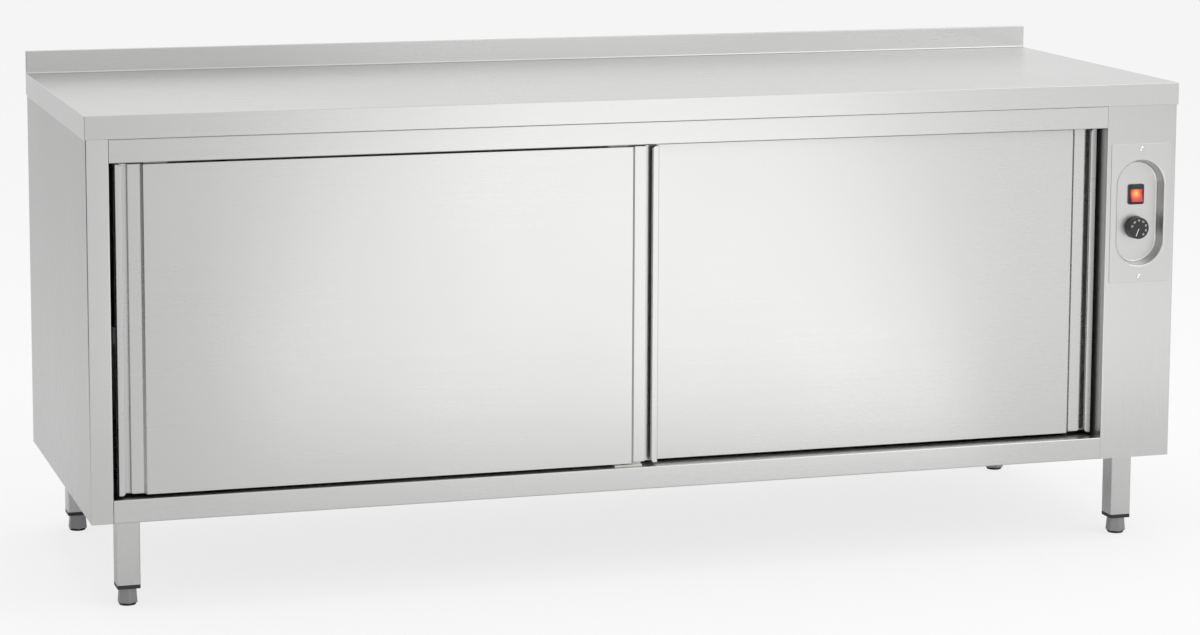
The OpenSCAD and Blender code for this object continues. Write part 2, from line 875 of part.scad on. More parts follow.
// Rocker pressed at the top; its ends follow a circle round its pivot
module switch_rocker() {
    end_r = rocker_h / 2 + 0.2;
    axle_end = rocker_w / 2 + SIDE + rocker_axle_l;
    color("red")
    translate([column_x, rocker_y, switch_z])
    rotate([-rocker_tilt, 0, 0]) {
        along_x(-rocker_w / 2, rocker_w / 2)
        intersection() {
            circle(r = end_r, $fn = 96);
            polygon([[-11, -20], [-8, 0], [-11, 20], [-4, 15], [3, 10], [3, -10], [-4, -15]]);
        }
        cylinder_x(rocker_axle_r, -axle_end, axle_end);
    }
}

module thermostat() {
    s = thermostat_w / 2;
    color("whitesmoke")
    translate([column_x, 0, knob_z])
    difference() {
        union() {
            box([-s, recess_back, -s], [s, recess_back + thermostat_d, s]);
            for (k = [-1, 1]) translate([k * 2 * tab_w, 0, 0]) tab(recess_back + thermostat_d);
        }
        cylinder_y(knob_shaft_r + RUN, recess_back - CUT, recess_back + shaft_socket_d);
    }
}

module knob_shaft() {
    color("silver")
    translate([column_x, 0, knob_z])
    cylinder_y(knob_shaft_r, recess_y - knob_d + knob_wall, recess_back + shaft_socket_d - 2);
}

// Turned knob with a skirt, a slight taper and a shallow dish in its face
module knob() {
    r = knob_r;
    y0 = SIDE;
    y1 = knob_d;
    skirt_h = 3;
    step = 0.4;
    front_r = 1.5;
    taper = 0.2;
    color("black")
    translate([column_x, recess_y, knob_z])
    rotate([90, 0, 0])
    difference() {
        rotate_extrude($fn = 96) polygon(concat(
            [[0, y0], [r, y0], [r, y0 + skirt_h], [r - LOOSE, y0 + skirt_h + step]],
            arc([r - LOOSE - taper - front_r, y1 - front_r], front_r, 0, 90),
            [[r - 4, y1], [r - 4.6, y1 - step], [0, y1 - step]]
        ));
        translate([0, 0, -CUT]) cylinder(r = knob_shaft_r + RUN, h = knob_d - knob_wall + CUT + RUN);
    }
}

// Sensing bulb on the chamber side of the partition, with its capillary back to the thermostat
module thermostat_bulb() {
    tube_y = recess_back + thermostat_d;
    tube_z = knob_z - capillary_drop;
    bulb_x = open_r - bulb_r - 4;
    color("goldenrod") {
        translate([column_x, 0, tube_z]) cylinder_y(capillary_r, tube_y, bulb_y);
        translate([column_x, bulb_y, tube_z]) cylinder(r = capillary_r, h = capillary_drop);
        for (z = [tube_z, knob_z]) translate([column_x, bulb_y, z]) sphere(capillary_r);
        translate([0, bulb_y, knob_z]) cylinder_x(capillary_r, bulb_x, column_x);
        translate([bulb_x, bulb_y, knob_z - bulb_l]) cylinder(r = bulb_r, h = bulb_l + capillary_r);
        for (share = [0.2, 0.8])
            translate([bulb_x, bulb_y, knob_z - bulb_l * share])
            box([1, -bulb_r + 1, -bulb_r], [open_r - bulb_x, bulb_r - 1, bulb_r]);
    }
}

// ---- Heater ----

module at_fan() translate([partition_x1, fan_y, fan_z]) children();

module fan_housing() {
    s = fan_box / 2;
    color("darkgray")
    at_fan()
    difference() {
        box([0, -s, -s], [fan_box_d, s, s]);
        box([-CUT, -s + sheet, -s + sheet], [fan_box_d - sheet, s - sheet, s - sheet]);
        cylinder_x(fan_hub_r, 0, fan_box_d + CUT);
        for (y = element_stub_ys)
            translate([0, y, element_z]) cylinder_x(element_tube_r + SIDE, 0, fan_box_d + CUT);
    }
}

module fan_motor() {
    plate = motor_r + 12;
    boss_l = 6;
    color("dimgray")
    at_fan()
    difference() {
        union() {
            box([fan_box_d, -plate, -plate], [motor_x, plate, plate]);
            cylinder_x(motor_r, motor_x - CUT, motor_x + motor_l);
            cylinder_x(motor_r * 0.4, motor_x + motor_l - CUT, motor_x + motor_l + boss_l);
        }
        cylinder_x(fan_shaft_r + RUN, fan_box_d - CUT, motor_x + motor_l - 8);
    }
}

// Radial fan: a back disc with blades cut from curved strips, and its shaft
module fan_rotor() {
    x0 = fan_box_d - sheet - 6 - blade_w;
    x1 = x0 + blade_w;
    curve_r = rotor_r * 0.8;
    disc_t = 1.5;
    blade_t = 1.2;
    color("silver")
    at_fan() {
        cylinder_x(rotor_r, x1, x1 + disc_t);
        cylinder_x(fan_hub_r - 2, x1 - 14, x1 + 4);
        cylinder_x(fan_shaft_r, x1 - 16, motor_x + motor_l - 10);
        for (k = [0:blade_count - 1])
            rotate([k * 360 / blade_count, 0, 0])
            along_x(x0, x1 + 0.5)
            intersection() {
                difference() {
                    translate([0, curve_r]) circle(r = curve_r);
                    translate([0, curve_r]) circle(r = curve_r - blade_t);
                }
                difference() {
                    circle(r = rotor_r - 1);
                    circle(r = rotor_r * 0.6);
                    translate([-rotor_r, 0]) square(2 * rotor_r, center = true);
                }
            }
    }
}

// Two rings of tube round the fan, joined by stubs that pass out through the housing
module heating_element() {
    tube = element_tube_r;
    rings = [14, 32];
    flange_w = 44;
    flange_h = 18;
    flange_t = 3;
    stub_l = 22;
    color("dimgray")
    at_fan() {
        for (x = rings)
            translate([x, 0, 0]) rotate([0, 90, 0])
            rotate_extrude($fn = 96) translate([element_r, 0]) circle(tube, $fn = 24);
        for (y = element_stub_ys)
            translate([0, y, element_z]) cylinder_x(tube, rings[0], fan_box_d + stub_l);
        translate([fan_box_d, 0, element_z])
        box([0, -flange_w / 2, -flange_h / 2], [flange_t, flange_w / 2, flange_h / 2]);
    }
}

module terminal_block() {
    pole_r = 3;
    pole_d = 10;
    color("whitesmoke")
    translate([partition_x1, back_y - terminal_back - terminal_l, open_b + terminal_rise])
    difference() {
        cube([terminal_d, terminal_l, terminal_h]);
        for (k = [1:terminal_poles])
            translate([0, (k - 0.5) * terminal_l / terminal_poles, terminal_h / 2])
            cylinder_x(pole_r, terminal_d - pole_d, terminal_d + CUT);
    }
}

// Cable gland in the base under the heater: the supply cord enters it from below
module cable_gland() {
    nut_w = 22;
    collar_h = 8;
    thread_h = 14;
    bore_h = gland_drop + thread_h + 2 * CUT;
    color("dimgray")
    translate(gland_at)
    difference() {
        union() {
            translate([0, 0, -gland_drop]) cylinder(r = gland_thread_r + 2, h = gland_drop - collar_h + 2);
            translate([0, 0, -collar_h]) cylinder(d = nut_w + 3, h = collar_h, $fn = 6);
            translate([0, 0, -CUT]) cylinder(r = gland_thread_r, h = thread_h);
            translate([0, 0, sheet]) cylinder(d = nut_w, h = 5, $fn = 6);
        }
        translate([0, 0, -gland_drop - CUT]) cylinder(r = gland_bore_r, h = bore_h);
    }
}

// ---- Doors ----

// A door's folded front in plan: lip, finger channel, recessed strip, slope and face, and back again.
// The path runs on the side of the sheet that its bends leave to the left.
function grip_path() = [
    [grip_lip_w, grip_hem], [grip_lip_w, 0], [0, 0], [0, grip_depth + door_sheet],
    [grip_neck + door_sheet, grip_depth + door_sheet],
    [grip_neck + door_sheet, strip_depth + door_sheet],
    [grip_margin - strip_slope, strip_depth + door_sheet],
    [grip_margin, door_sheet]
];
function other_end(path) = reversed([for (p = path) [door_w - p[0], p[1]]]);

module both_ends() {
    children();
    translate([door_w, 0, 0]) mirror([1, 0, 0]) children();
}

module door_skin() {
    x0 = grip_margin + bend_r + 1;
    lip_gap = 2;
    hem_t = channel_y0;
    difference() {
        union() {
            along_z(door_z0, door_z1) folded_sheet(concat(grip_path(), other_end(grip_path())), -door_sheet);
            for (z = [door_z0, door_z1 - door_sheet])
                box([x0, door_sheet / 2, z], [door_w - x0, hem_t, z + door_sheet]);
        }
        both_ends() {
            box(
                [grip_lip_w + lip_gap, strip_depth - CUT, door_z0 - CUT],
                [grip_margin - strip_slope, grip_depth + door_sheet + CUT, door_z0 + strip_lift]
            );
            translate([grip_lip_w, 0, door_z0]) lip_end_cut();
            translate([grip_lip_w, 0, door_z1]) mirror([0, 0, 1]) lip_end_cut();
        }
    }
}

// Rounds off the lip's inner corner at its lower end
module lip_end_cut() {
    along_y(-CUT, grip_hem + CUT)
    difference() {
        translate([-lip_end_r, -CUT]) square([lip_end_r + 1, lip_end_r + CUT]);
        translate([-lip_end_r, lip_end_r]) circle(r = lip_end_r);
    }
}

module door_back() {
    back_y0 = grip_depth + door_sheet;
    x0 = grip_margin + bend_r + 1;
    along_z(door_z0, door_z1)
    folded_sheet([[0, back_y0], [0, door_t], [door_w, door_t], [door_w, back_y0]], -door_sheet);
    difference() {
        box(
            [x0, channel_y0 + slab_gap, door_z1 - door_sheet],
            [door_w - x0, door_t - door_sheet / 2, door_z1]
        );
        at_hangers() hanger_slot();
    }
}

module at_hangers() {
    for (x = [roller_inset, door_w - roller_inset]) translate([x, hanger_y, 0]) children();
}

module hanger_slot() {
    w = hanger_w / 2 + SIDE;
    box([-w, -SIDE, door_z1 - hanger_reach - SIDE], [w, hanger_t + SIDE, door_z1 + CUT]);
}

// Filling board: thick behind the face, thin behind the strips
module door_core() {
    z0 = door_z0 + guide_channel_h;
    z1 = door_z1 - door_sheet - slab_gap;
    thick_x = grip_margin + bend_r;
    thin_x = grip_neck + door_sheet + slab_gap;
    difference() {
        union() {
            box([thick_x, door_sheet, z0], [door_w - thick_x, door_t - door_sheet, z1]);
            box([thin_x, channel_y0 + bend_r, z0], [door_w - thin_x, door_t - door_sheet, z1]);
        }
        at_hangers() hanger_slot();
    }
}

// Hanger plate with the pin that its roller turns on
module door_hangers() {
    half = hanger_w / 2;
    head_y = hanger_t + roller_w + 2 * SIDE;
    at_hangers() {
        box([-half, 0, door_z1 - hanger_reach], [half, hanger_t, axle_z]);
        translate([0, 0, axle_z]) {
            intersection() {
                cylinder_y(half, 0, hanger_t);
                box([-half, -CUT, -CUT], [half, hanger_t + CUT, roller_r * 0.7]);
            }
            cylinder_y(roller_pin_r, 0, head_y + 0.2);
            cylinder_y(pin_head_r, head_y, head_y + pin_head_t);
        }
    }
}

// Sliding profile in the lower edge, which runs over the floor guide's fin
module door_channel() {
    x0 = grip_neck + door_sheet + bend_r;
    z1 = door_z0 + guide_channel_h;
    difference() {
        box([x0, channel_y0, door_z0 + door_sheet + slab_gap], [door_w - x0, channel_y1, z1]);
        translate([0, channel_mid, door_z0])
        box([x0 - CUT, -guide_slot / 2, 0], [door_w - x0 + CUT, guide_slot / 2, guide_slot_h]);
    }
}

// Nylon wheel with a shallow groove round its tread
module door_roller(x) {
    r = roller_r;
    groove_r = r - CHAMFER;
    bore_r = roller_pin_r + RUN;
    w = roller_w / 2;
    translate([x, roller_y + w, axle_z])
    rotate([90, 0, 0])
    rotate_extrude($fn = 64) polygon([
        [bore_r, -w], [r - CHAMFER, -w], [r, -w + CHAMFER], [r, -w / 2],
        [groove_r, -w / 4], [groove_r, w / 4], [r, w / 2],
        [r, w - CHAMFER], [r - CHAMFER, w], [bore_r, w]
    ]);
}

module at_left_door() translate([left_door_x, left_door_y, 0]) children();
module at_right_door() translate([right_door_x, right_door_y, 0]) children();

module left_door_skin() color("lightgray") at_left_door() door_skin();
module left_door_back() color("silver") at_left_door() door_back();
module left_door_core() color("khaki") at_left_door() door_core();
module left_door_hangers() color("slategray") at_left_door() door_hangers();
module left_door_channel() color("whitesmoke") at_left_door() door_channel();
module left_door_left_roller() color("ivory") at_left_door() door_roller(roller_inset);
module left_door_right_roller() color("ivory") at_left_door() door_roller(door_w - roller_inset);
module right_door_skin() color("lightgray") at_right_door() door_skin();
module right_door_back() color("silver") at_right_door() door_back();
module right_door_core() color("khaki") at_right_door() door_core();
module right_door_hangers() color("slategray") at_right_door() door_hangers();
module right_door_channel() color("whitesmoke") at_right_door() door_channel();
module right_door_left_roller() color("ivory") at_right_door() door_roller(roller_inset);
module right_door_right_roller() color("ivory") at_right_door() door_roller(door_w - roller_inset);

worktop();
worktop_core();
worktop_stiffeners();
left_side_panel();
right_side_panel();
top_rail();
floor_pan();
underside_pan();
back_panel();
back_liner();
left_liner();
service_partition();
roof_liner();
insulation_slabs();
upper_track();
track_stops();
lower_guide();
shelf();
shelf_uprights();
shelf_clips();
legs();
leg_sockets();
leg_caps();
control_plate();
control_screws();
switch_housing();
switch_rocker();
thermostat();
thermostat_bulb();
knob_shaft();
knob();
fan_housing();
fan_motor();
fan_rotor();
heating_element();
terminal_block();
cable_gland();
left_door_skin();
left_door_back();
left_door_core();
left_door_hangers();
left_door_channel();
left_door_left_roller();
left_door_right_roller();
right_door_skin();
right_door_back();
right_door_core();
right_door_hangers();
right_door_channel();
right_door_left_roller();
right_door_right_roller();
front_left_foot();
front_right_foot();
rear_left_foot();
rear_right_foot();
front_left_sole();
front_right_sole();
rear_left_sole();
rear_right_sole();
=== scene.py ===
"""Looks of a heated plate cupboard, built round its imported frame. Metres, +Z up, front towards -Y."""
import math

import bmesh
import bpy
from mathutils import Matrix, Vector


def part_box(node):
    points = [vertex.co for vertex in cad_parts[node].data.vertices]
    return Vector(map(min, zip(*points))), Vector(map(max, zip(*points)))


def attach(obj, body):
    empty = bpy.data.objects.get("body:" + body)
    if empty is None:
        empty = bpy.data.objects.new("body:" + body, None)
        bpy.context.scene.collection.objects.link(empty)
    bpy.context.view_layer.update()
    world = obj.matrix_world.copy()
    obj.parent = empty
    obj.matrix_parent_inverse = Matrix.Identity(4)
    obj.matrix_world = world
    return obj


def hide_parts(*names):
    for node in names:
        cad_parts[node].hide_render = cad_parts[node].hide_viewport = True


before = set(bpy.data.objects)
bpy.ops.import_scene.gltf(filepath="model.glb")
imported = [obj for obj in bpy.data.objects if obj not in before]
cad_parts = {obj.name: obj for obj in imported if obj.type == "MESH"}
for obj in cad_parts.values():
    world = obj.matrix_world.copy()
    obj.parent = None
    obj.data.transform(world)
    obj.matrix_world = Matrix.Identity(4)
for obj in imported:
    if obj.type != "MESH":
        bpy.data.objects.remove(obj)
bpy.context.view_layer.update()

# ---- Sizes and places in millimetres, taken from the CAD frame where it has them ----

MM = 0.001


def box_mm(node):
    """Lowest and highest corner of a node at rest."""
    low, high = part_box(node)
    return [round(a / MM, 2) for a in low], [round(a / MM, 2) for a in high]


def middle_and_half(node):
    """Middle of a node at rest, and half its size each way."""
    low, high = box_mm(node)
    return [(a + b) / 2 for a, b in zip(low, high)], [(b - a) / 2 for a, b in zip(low, high)]


# Sheet's thickness, the radius of its folds and the width of its flanges
SHEET, FOLD, FLANGE = 1.2, 2.2, 20
# Worktop: its folded edge is 40 high, and its upstand 12 thick
(_, _, EDGE_Z), (HALF_W, HALF_D, UPSTAND_Z) = box_mm("worktop")
TABLE_Z, UPSTAND_Y = EDGE_Z + 40, HALF_D - 12
# Body, the opening in its front, and the chamber's floor with the hem at its back
(_, _, BODY_Z), (BODY_X, BODY_Y, _) = box_mm("right_side_panel")
(OPEN_L, _, OPEN_T), _ = box_mm("top_rail")
_, (OPEN_R, FLOOR_BACK_Y, OPEN_B) = box_mm("floor_pan")
FLOOR_HEM = 34.6
# Control plate on the column: its recess is a stadium and goes through a window in the column's sheet
(COLUMN_X, _, PLATE_Z), (PLATE_HALF_W, _, PLATE_HALF_H) = middle_and_half("control_plate")
(_, PLATE_Y, _), (_, recess_back_y, _) = box_mm("control_plate")
RECESS_HALF_W, RECESS_HALF_H, RECESS_Y = 46.75, 97, recess_back_y - SHEET
WINDOW_GAP = 1.7
SCREW_RISE = 118
# Switch, with the lamp inside its rocker, and knob
(_, _, SWITCH_Z), (SWITCH_HALF_W, _, SWITCH_HALF_H) = middle_and_half("switch_housing")
ROCKER_HALF_H = 16.1
LAMP_PLACE = (COLUMN_X - 1.5, RECESS_Y - 5, SWITCH_Z + 2)
(_, _, KNOB_Z), (KNOB_R, _, _) = middle_and_half("knob")
# Legs: half a tube's width, a tube's two ends, and the lower side of the cap in it
LEG_HALF = 20
(_, _, LEG_Z), (legs_right, legs_back, LEG_TOP) = box_mm("legs")
LEG_X, LEG_Y = legs_right - LEG_HALF, legs_back - LEG_HALF
(_, _, CAP_Z), _ = box_mm("leg_caps")
LEGS = {
    "front_left": (-LEG_X, -LEG_Y),
    "front_right": (LEG_X, -LEG_Y),
    "rear_left": (-LEG_X, LEG_Y),
    "rear_right": (LEG_X, LEG_Y),
}

# ---- Camera, lights and floor, in metres ----

PHOTO_WIDTH = 1200
FOCAL_PIXELS = 3425.8
SENSOR = 36.0
CAMERA_PLACE = (-1.8562, -5.9726, 1.5218)
CAMERA_YAW = math.radians(-17.288)
CAMERA_PITCH = math.radians(-7.729)
CAMERA_ROLL = math.radians(0.244)
LENS_SHIFT = -0.12
# Level of the light that the room itself gives
ROOM_GREY = 0.72


def make_camera():
    """Camera fitted to the photograph, with its lens shifted a little."""
    camera_data = bpy.data.cameras.new("camera")
    camera_data.sensor_width = SENSOR
    camera_data.lens = SENSOR * FOCAL_PIXELS / PHOTO_WIDTH
    camera_data.shift_y = LENS_SHIFT
    camera_data.clip_start, camera_data.clip_end = 0.05, 60
    camera = bpy.data.objects.new("camera", camera_data)
    bpy.context.scene.collection.objects.link(camera)
    turn = (
        Matrix.Rotation(CAMERA_YAW, 4, "Z")
        @ Matrix.Rotation(math.pi / 2 + CAMERA_PITCH, 4, "X")
        @ Matrix.Rotation(CAMERA_ROLL, 4, "Z")
    )
    camera.matrix_world = Matrix.Translation(CAMERA_PLACE) @ turn
    bpy.context.scene.camera = camera


def make_softbox(name, place, aim, size, power, turn=0.0, mirrored=True):
    """Area lamp that the camera doesn't see. One that lies flat is turned round the upright."""
    lamp_data = bpy.data.lights.new(name, "AREA")
    lamp_data.shape = "RECTANGLE"
    lamp_data.size, lamp_data.size_y = size
    lamp_data.energy = power
    lamp = bpy.data.objects.new(name, lamp_data)
    bpy.context.scene.collection.objects.link(lamp)
    lamp.location = place
    aimed = (Vector(aim) - Vector(place)).to_track_quat("-Z", "Y").to_matrix()
    lamp.rotation_euler = (Matrix.Rotation(turn, 3, "Z") @ aimed).to_euler()
    lamp.visible_camera = False
    lamp.visible_glossy = mirrored


def seen_or_mirrored(tree, seen=1.0, mirrored=1.0):
    """Share of plain white in what camera and transmission rays meet, and in what glossy rays meet."""
    path = tree.nodes.new("ShaderNodeLightPath")
    total = 0.0
    shares = {"Is Camera Ray": seen, "Is Transmission Ray": seen, "Is Glossy Ray": mirrored}
    for ray, share in shares.items():
        part = tree.nodes.new("ShaderNodeMath")
        part.operation = "MULTIPLY"
        part.inputs[1].default_value = share
        tree.links.new(path.outputs[ray], part.inputs[0])
        most = tree.nodes.new("ShaderNodeMath")
        most.operation = "MAXIMUM"
        most.inputs[1].default_value = 0.0
        if total:
            tree.links.new(total, most.inputs[1])
        tree.links.new(part.outputs[0], most.inputs[0])
        total = most.outputs[0]
    return total


def make_world():
    """White to the eye and in gloss, and a softer grey for the light that the room gives."""
    world = bpy.data.worlds.new("studio")
    bpy.context.scene.world = world
    world.use_nodes = True
    tree = world.node_tree
    tree.nodes.clear()
    room = tree.nodes.new("ShaderNodeBackground")
    room.inputs["Color"].default_value = (ROOM_GREY, ROOM_GREY, ROOM_GREY, 1)
    white = tree.nodes.new("ShaderNodeBackground")
    white.inputs["Color"].default_value = (1, 1, 1, 1)
    mix = tree.nodes.new("ShaderNodeMixShader")
    out = tree.nodes.new("ShaderNodeOutputWorld")
    tree.links.new(seen_or_mirrored(tree), mix.inputs[0])
    tree.links.new(room.outputs[0], mix.inputs[1])
    tree.links.new(white.outputs[0], mix.inputs[2])
    tree.links.new(mix.outputs[0], out.inputs[0])


def make_floor():
    """Pale floor that keeps the shadow and is otherwise near the white behind it."""
    bpy.ops.mesh.primitive_plane_add(size=30, location=(0, 0, 0))
    floor = bpy.context.object
    floor.name = "floor"
    finish = bpy.data.materials.new("pale_floor")
    finish.use_nodes = True
    tree = finish.node_tree
    tree.nodes.clear()
    lit = tree.nodes.new("ShaderNodeBsdfDiffuse")
    lit.inputs["Color"].default_value = (0.9, 0.9, 0.9, 1)
    white = tree.nodes.new("ShaderNodeEmission")
    mix = tree.nodes.new("ShaderNodeMixShader")
    out = tree.nodes.new("ShaderNodeOutputMaterial")
    tree.links.new(seen_or_mirrored(tree, seen=0.75, mirrored=0.2), mix.inputs[0])
    tree.links.new(lit.outputs[0], mix.inputs[1])
    tree.links.new(white.outputs[0], mix.inputs[2])
    tree.links.new(mix.outputs[0], out.inputs[0])
    floor.data.materials.append(finish)


def make_dark_card():
    """Card to the left of the cupboard that only gloss shows: it draws the folds that face it."""
    place, height, depth = (-2.7, -0.9, 0.62), 1.22, 2.6
    bpy.ops.mesh.primitive_plane_add(size=1, location=place, rotation=(0, math.pi / 2, 0))
    card = bpy.context.object
    card.scale = (height, depth, 1)
    card.name = "dark_card"
    finish = bpy.data.materials.new("dark_card")
    finish.use_nodes = True
    shader = finish.node_tree.nodes["Principled BSDF"]
    shader.inputs["Base Color"].default_value = (0.01, 0.01, 0.01, 1)
    shader.inputs["Roughness"].default_value = 0.9
    card.data.materials.append(finish)
    card.visible_camera = card.visible_diffuse = card.visible_shadow = False


make_camera()
make_world()
make_floor()
make_dark_card()
make_softbox("front_softbox", place=(1.6, -5.4, 1.3), aim=(0.3, 0, 0.5), size=(1.3, 2.6), power=5)
make_softbox(
    "low_softbox",
    place=(1.1, -4.2, 0.03),
    aim=(1.1, -4.2, 1),
    size=(1.6, 6.0),
    power=26,
    turn=math.radians(17),
)
make_softbox(
    "right_low_softbox",
    place=(2.6, -3.9, 0.02),
    aim=(2.6, -3.9, 1),
    size=(1.5, 5.4),
    power=6,
    turn=math.radians(25),
)
make_softbox("side_softbox", place=(3.4, -3.2, 3.8), aim=(0.2, 0, 0.4), size=(4.0, 4.0), power=60)
make_softbox("top_softbox", place=(0, 0.4, 4.4), aim=(0, 0, 0.8), size=(4.0, 3.0), power=40, mirrored=False)
bpy.context.scene.view_settings.view_transform = "Standard"

# ---- Material effects, each a node group ----


class Nodes:
    """A node tree with short calls for adding and joining its nodes."""

    def __init__(self, tree):
        self.tree = tree

    def add(self, kind, **settings):
        node = self.tree.nodes.new("ShaderNode" + kind)
        for key, value in settings.items():
            setattr(node, key, value)
        return node

    def join(self, source, target):
        self.tree.links.new(source, target)

    def math(self, operation, a, b=0.0):
        node = self.add("Math", operation=operation)
        for socket, value in zip(node.inputs, (a, b)):
            if isinstance(value, (int, float)):
                socket.default_value = value
            else:
                self.join(value, socket)
        return node.outputs[0]

    def noise(self, vector, scale, detail=3.0, rough=0.5):
        node = self.add("TexNoise")
        node.inputs["Scale"].default_value = scale
        node.inputs["Detail"].default_value = detail
        node.inputs["Roughness"].default_value = rough
        self.join(vector, node.inputs["Vector"])
        return node.outputs["Fac"]

    def spread(self, value, low, high, to_low, to_high):
        node = self.add("MapRange")
        self.join(value, node.inputs["Value"])
        limits = {"From Min": low, "From Max": high, "To Min": to_low, "To Max": to_high}
        for name, number in limits.items():
            if isinstance(number, (int, float)):
                node.inputs[name].default_value = number
            else:
                self.join(number, node.inputs[name])
        return node.outputs["Result"]

    def per_size(self, vector, size):
        """Vector divided by the size of a pattern."""
        node = self.add("VectorMath", operation="SCALE")
        self.join(vector, node.inputs[0])
        self.join(self.math("DIVIDE", 1.0, size), node.inputs["Scale"])
        return node.outputs[0]

    def swing(self, value, amount):
        """Value from 0 to 1 as a swing to both sides of 0."""
        return self.math("MULTIPLY", self.math("SUBTRACT", value, 0.5), amount)


def new_group(name, inputs, outputs):
    """Empty node group: its nodes, the sockets that it is given and the sockets of its results."""
    tree = bpy.data.node_groups.new(name, "ShaderNodeTree")
    for socket, kind in inputs:
        tree.interface.new_socket(socket, in_out="INPUT", socket_type="NodeSocket" + kind)
    for socket, kind in outputs:
        tree.interface.new_socket(socket, in_out="OUTPUT", socket_type="NodeSocket" + kind)
    nodes = Nodes(tree)
    given = tree.nodes.new("NodeGroupInput")
    result = tree.nodes.new("NodeGroupOutput")
    return nodes, given.outputs, result.inputs


def make_brushed_group():
    """Fine brushing lines of a polishing belt, with broader bands. Stretch runs along the lines."""
    nodes, given, result = new_group(
        "belt_brushing",
        [("Vector", "Vector"), ("Stretch", "Vector"), ("Contrast", "Float")],
        [("Tone", "Float"), ("Roughness", "Float"), ("Height", "Float")],
    )
    along = nodes.add("VectorMath", operation="MULTIPLY")
    nodes.join(given["Vector"], along.inputs[0])
    nodes.join(given["Stretch"], along.inputs[1])
    fine = nodes.noise(along.outputs[0], scale=900, detail=2)
    band = nodes.noise(along.outputs[0], scale=120, detail=4, rough=0.6)
    both = nodes.math("ADD", nodes.math("MULTIPLY", fine, 0.5), nodes.math("MULTIPLY", band, 0.5))
    swing = nodes.swing(both, given["Contrast"])
    nodes.join(nodes.math("ADD", swing, 1.0), result["Tone"])
    nodes.join(nodes.spread(band, 0.3, 0.7, to_low=-0.01, to_high=0.01), result["Roughness"])
    nodes.join(fine, result["Height"])
    return nodes.tree


def make_handling_group():
    """Wiped patches: broad soft areas where the sheet is a little duller or brighter."""
    nodes, given, result = new_group(
        "wiped_patches",
        [("Vector", "Vector"), ("Size", "Float"), ("Amount", "Float")],
        [("Tone", "Float"), ("Roughness", "Float")],
    )
    place = nodes.per_size(given["Vector"], given["Size"])
    cloud = nodes.noise(place, scale=1.0, detail=2, rough=0.4)
    swing = nodes.swing(cloud, given["Amount"])
    nodes.join(nodes.math("ADD", swing, 1.0), result["Tone"])
    nodes.join(nodes.math("MULTIPLY", swing, -1.0), result["Roughness"])
    return nodes.tree


def make_grit_group():
    """Fine grain of a moulded, cast or galvanised surface."""
    nodes, given, result = new_group(
        "surface_grit",
        [("Vector", "Vector"), ("Size", "Float"), ("Amount", "Float")],
        [("Tone", "Float"), ("Roughness", "Float"), ("Height", "Float")],
    )
    place = nodes.per_size(given["Vector"], given["Size"])
    grain = nodes.noise(place, scale=1.0, detail=4, rough=0.6)
    swing = nodes.swing(grain, given["Amount"])
    nodes.join(nodes.math("ADD", swing, 1.0), result["Tone"])
    nodes.join(nodes.math("MULTIPLY", swing, 0.6), result["Roughness"])
    nodes.join(grain, result["Height"])
    return nodes.tree


def make_spangle_group():
    """Crystal pattern of zinc, with cells of slightly different grey."""
    nodes, given, result = new_group(
        "zinc_spangle",
        [("Vector", "Vector"), ("Size", "Float"), ("Amount", "Float")],
        [("Tone", "Float"), ("Roughness", "Float")],
    )
    place = nodes.per_size(given["Vector"], given["Size"])
    cells = nodes.add("TexVoronoi")
    nodes.join(place, cells.inputs["Vector"])
    split = nodes.add("SeparateColor")
    nodes.join(cells.outputs["Color"], split.inputs[0])
    swing = nodes.swing(split.outputs[0], given["Amount"])
    nodes.join(nodes.math("ADD", swing, 1.0), result["Tone"])
    nodes.join(swing, result["Roughness"])
    return nodes.tree


BELT_BRUSHING = make_brushed_group()
WIPED_PATCHES = make_handling_group()
SURFACE_GRIT = make_grit_group()
ZINC_SPANGLE = make_spangle_group()


class Finish:
    """A material under construction: effects multiply its tone, shift its roughness and raise its bump."""

    def __init__(self, name, colour, roughness, metallic=0.0):
        self.material = bpy.data.materials.new(name)
        self.material.use_nodes = True
        self.nodes = Nodes(self.material.node_tree)
        self.shader = self.material.node_tree.nodes["Principled BSDF"]
        self.shader.inputs["Metallic"].default_value = metallic
        self.place = self.nodes.add("TexCoord").outputs["Object"]
        self.colour = colour
        self.roughness = roughness
        self.tone = None
        self.shift = None

    def effect(self, group, **values):
        node = self.nodes.add("Group", node_tree=group)
        self.nodes.join(self.place, node.inputs["Vector"])
        for name, value in values.items():
            node.inputs[name].default_value = value
        tone, shift = node.outputs["Tone"], node.outputs["Roughness"]
        self.tone = tone if self.tone is None else self.nodes.math("MULTIPLY", self.tone, tone)
        self.shift = shift if self.shift is None else self.nodes.math("ADD", self.shift, shift)
        return node

    def bump(self, height, strength, distance):
        node = self.nodes.add("Bump")
        node.inputs["Strength"].default_value = strength
        node.inputs["Distance"].default_value = distance
        self.nodes.join(height, node.inputs["Height"])
        self.nodes.join(node.outputs[0], self.shader.inputs["Normal"])

    def done(self):
        shade = self.nodes.add("VectorMath", operation="SCALE")
        shade.inputs[0].default_value = self.colour
        self.nodes.join(self.tone, shade.inputs["Scale"])
        self.nodes.join(shade.outputs[0], self.shader.inputs["Base Color"])
        rough = self.nodes.math("ADD", self.shift, self.roughness)
        self.nodes.join(rough, self.shader.inputs["Roughness"])
        return self.material


# Brushing lines run where the number is small: 0.012 draws the pattern out some eightyfold that way
ALONG_X = (0.012, 1.0, 1.0)
ALONG_Z = (1.0, 1.0, 0.012)


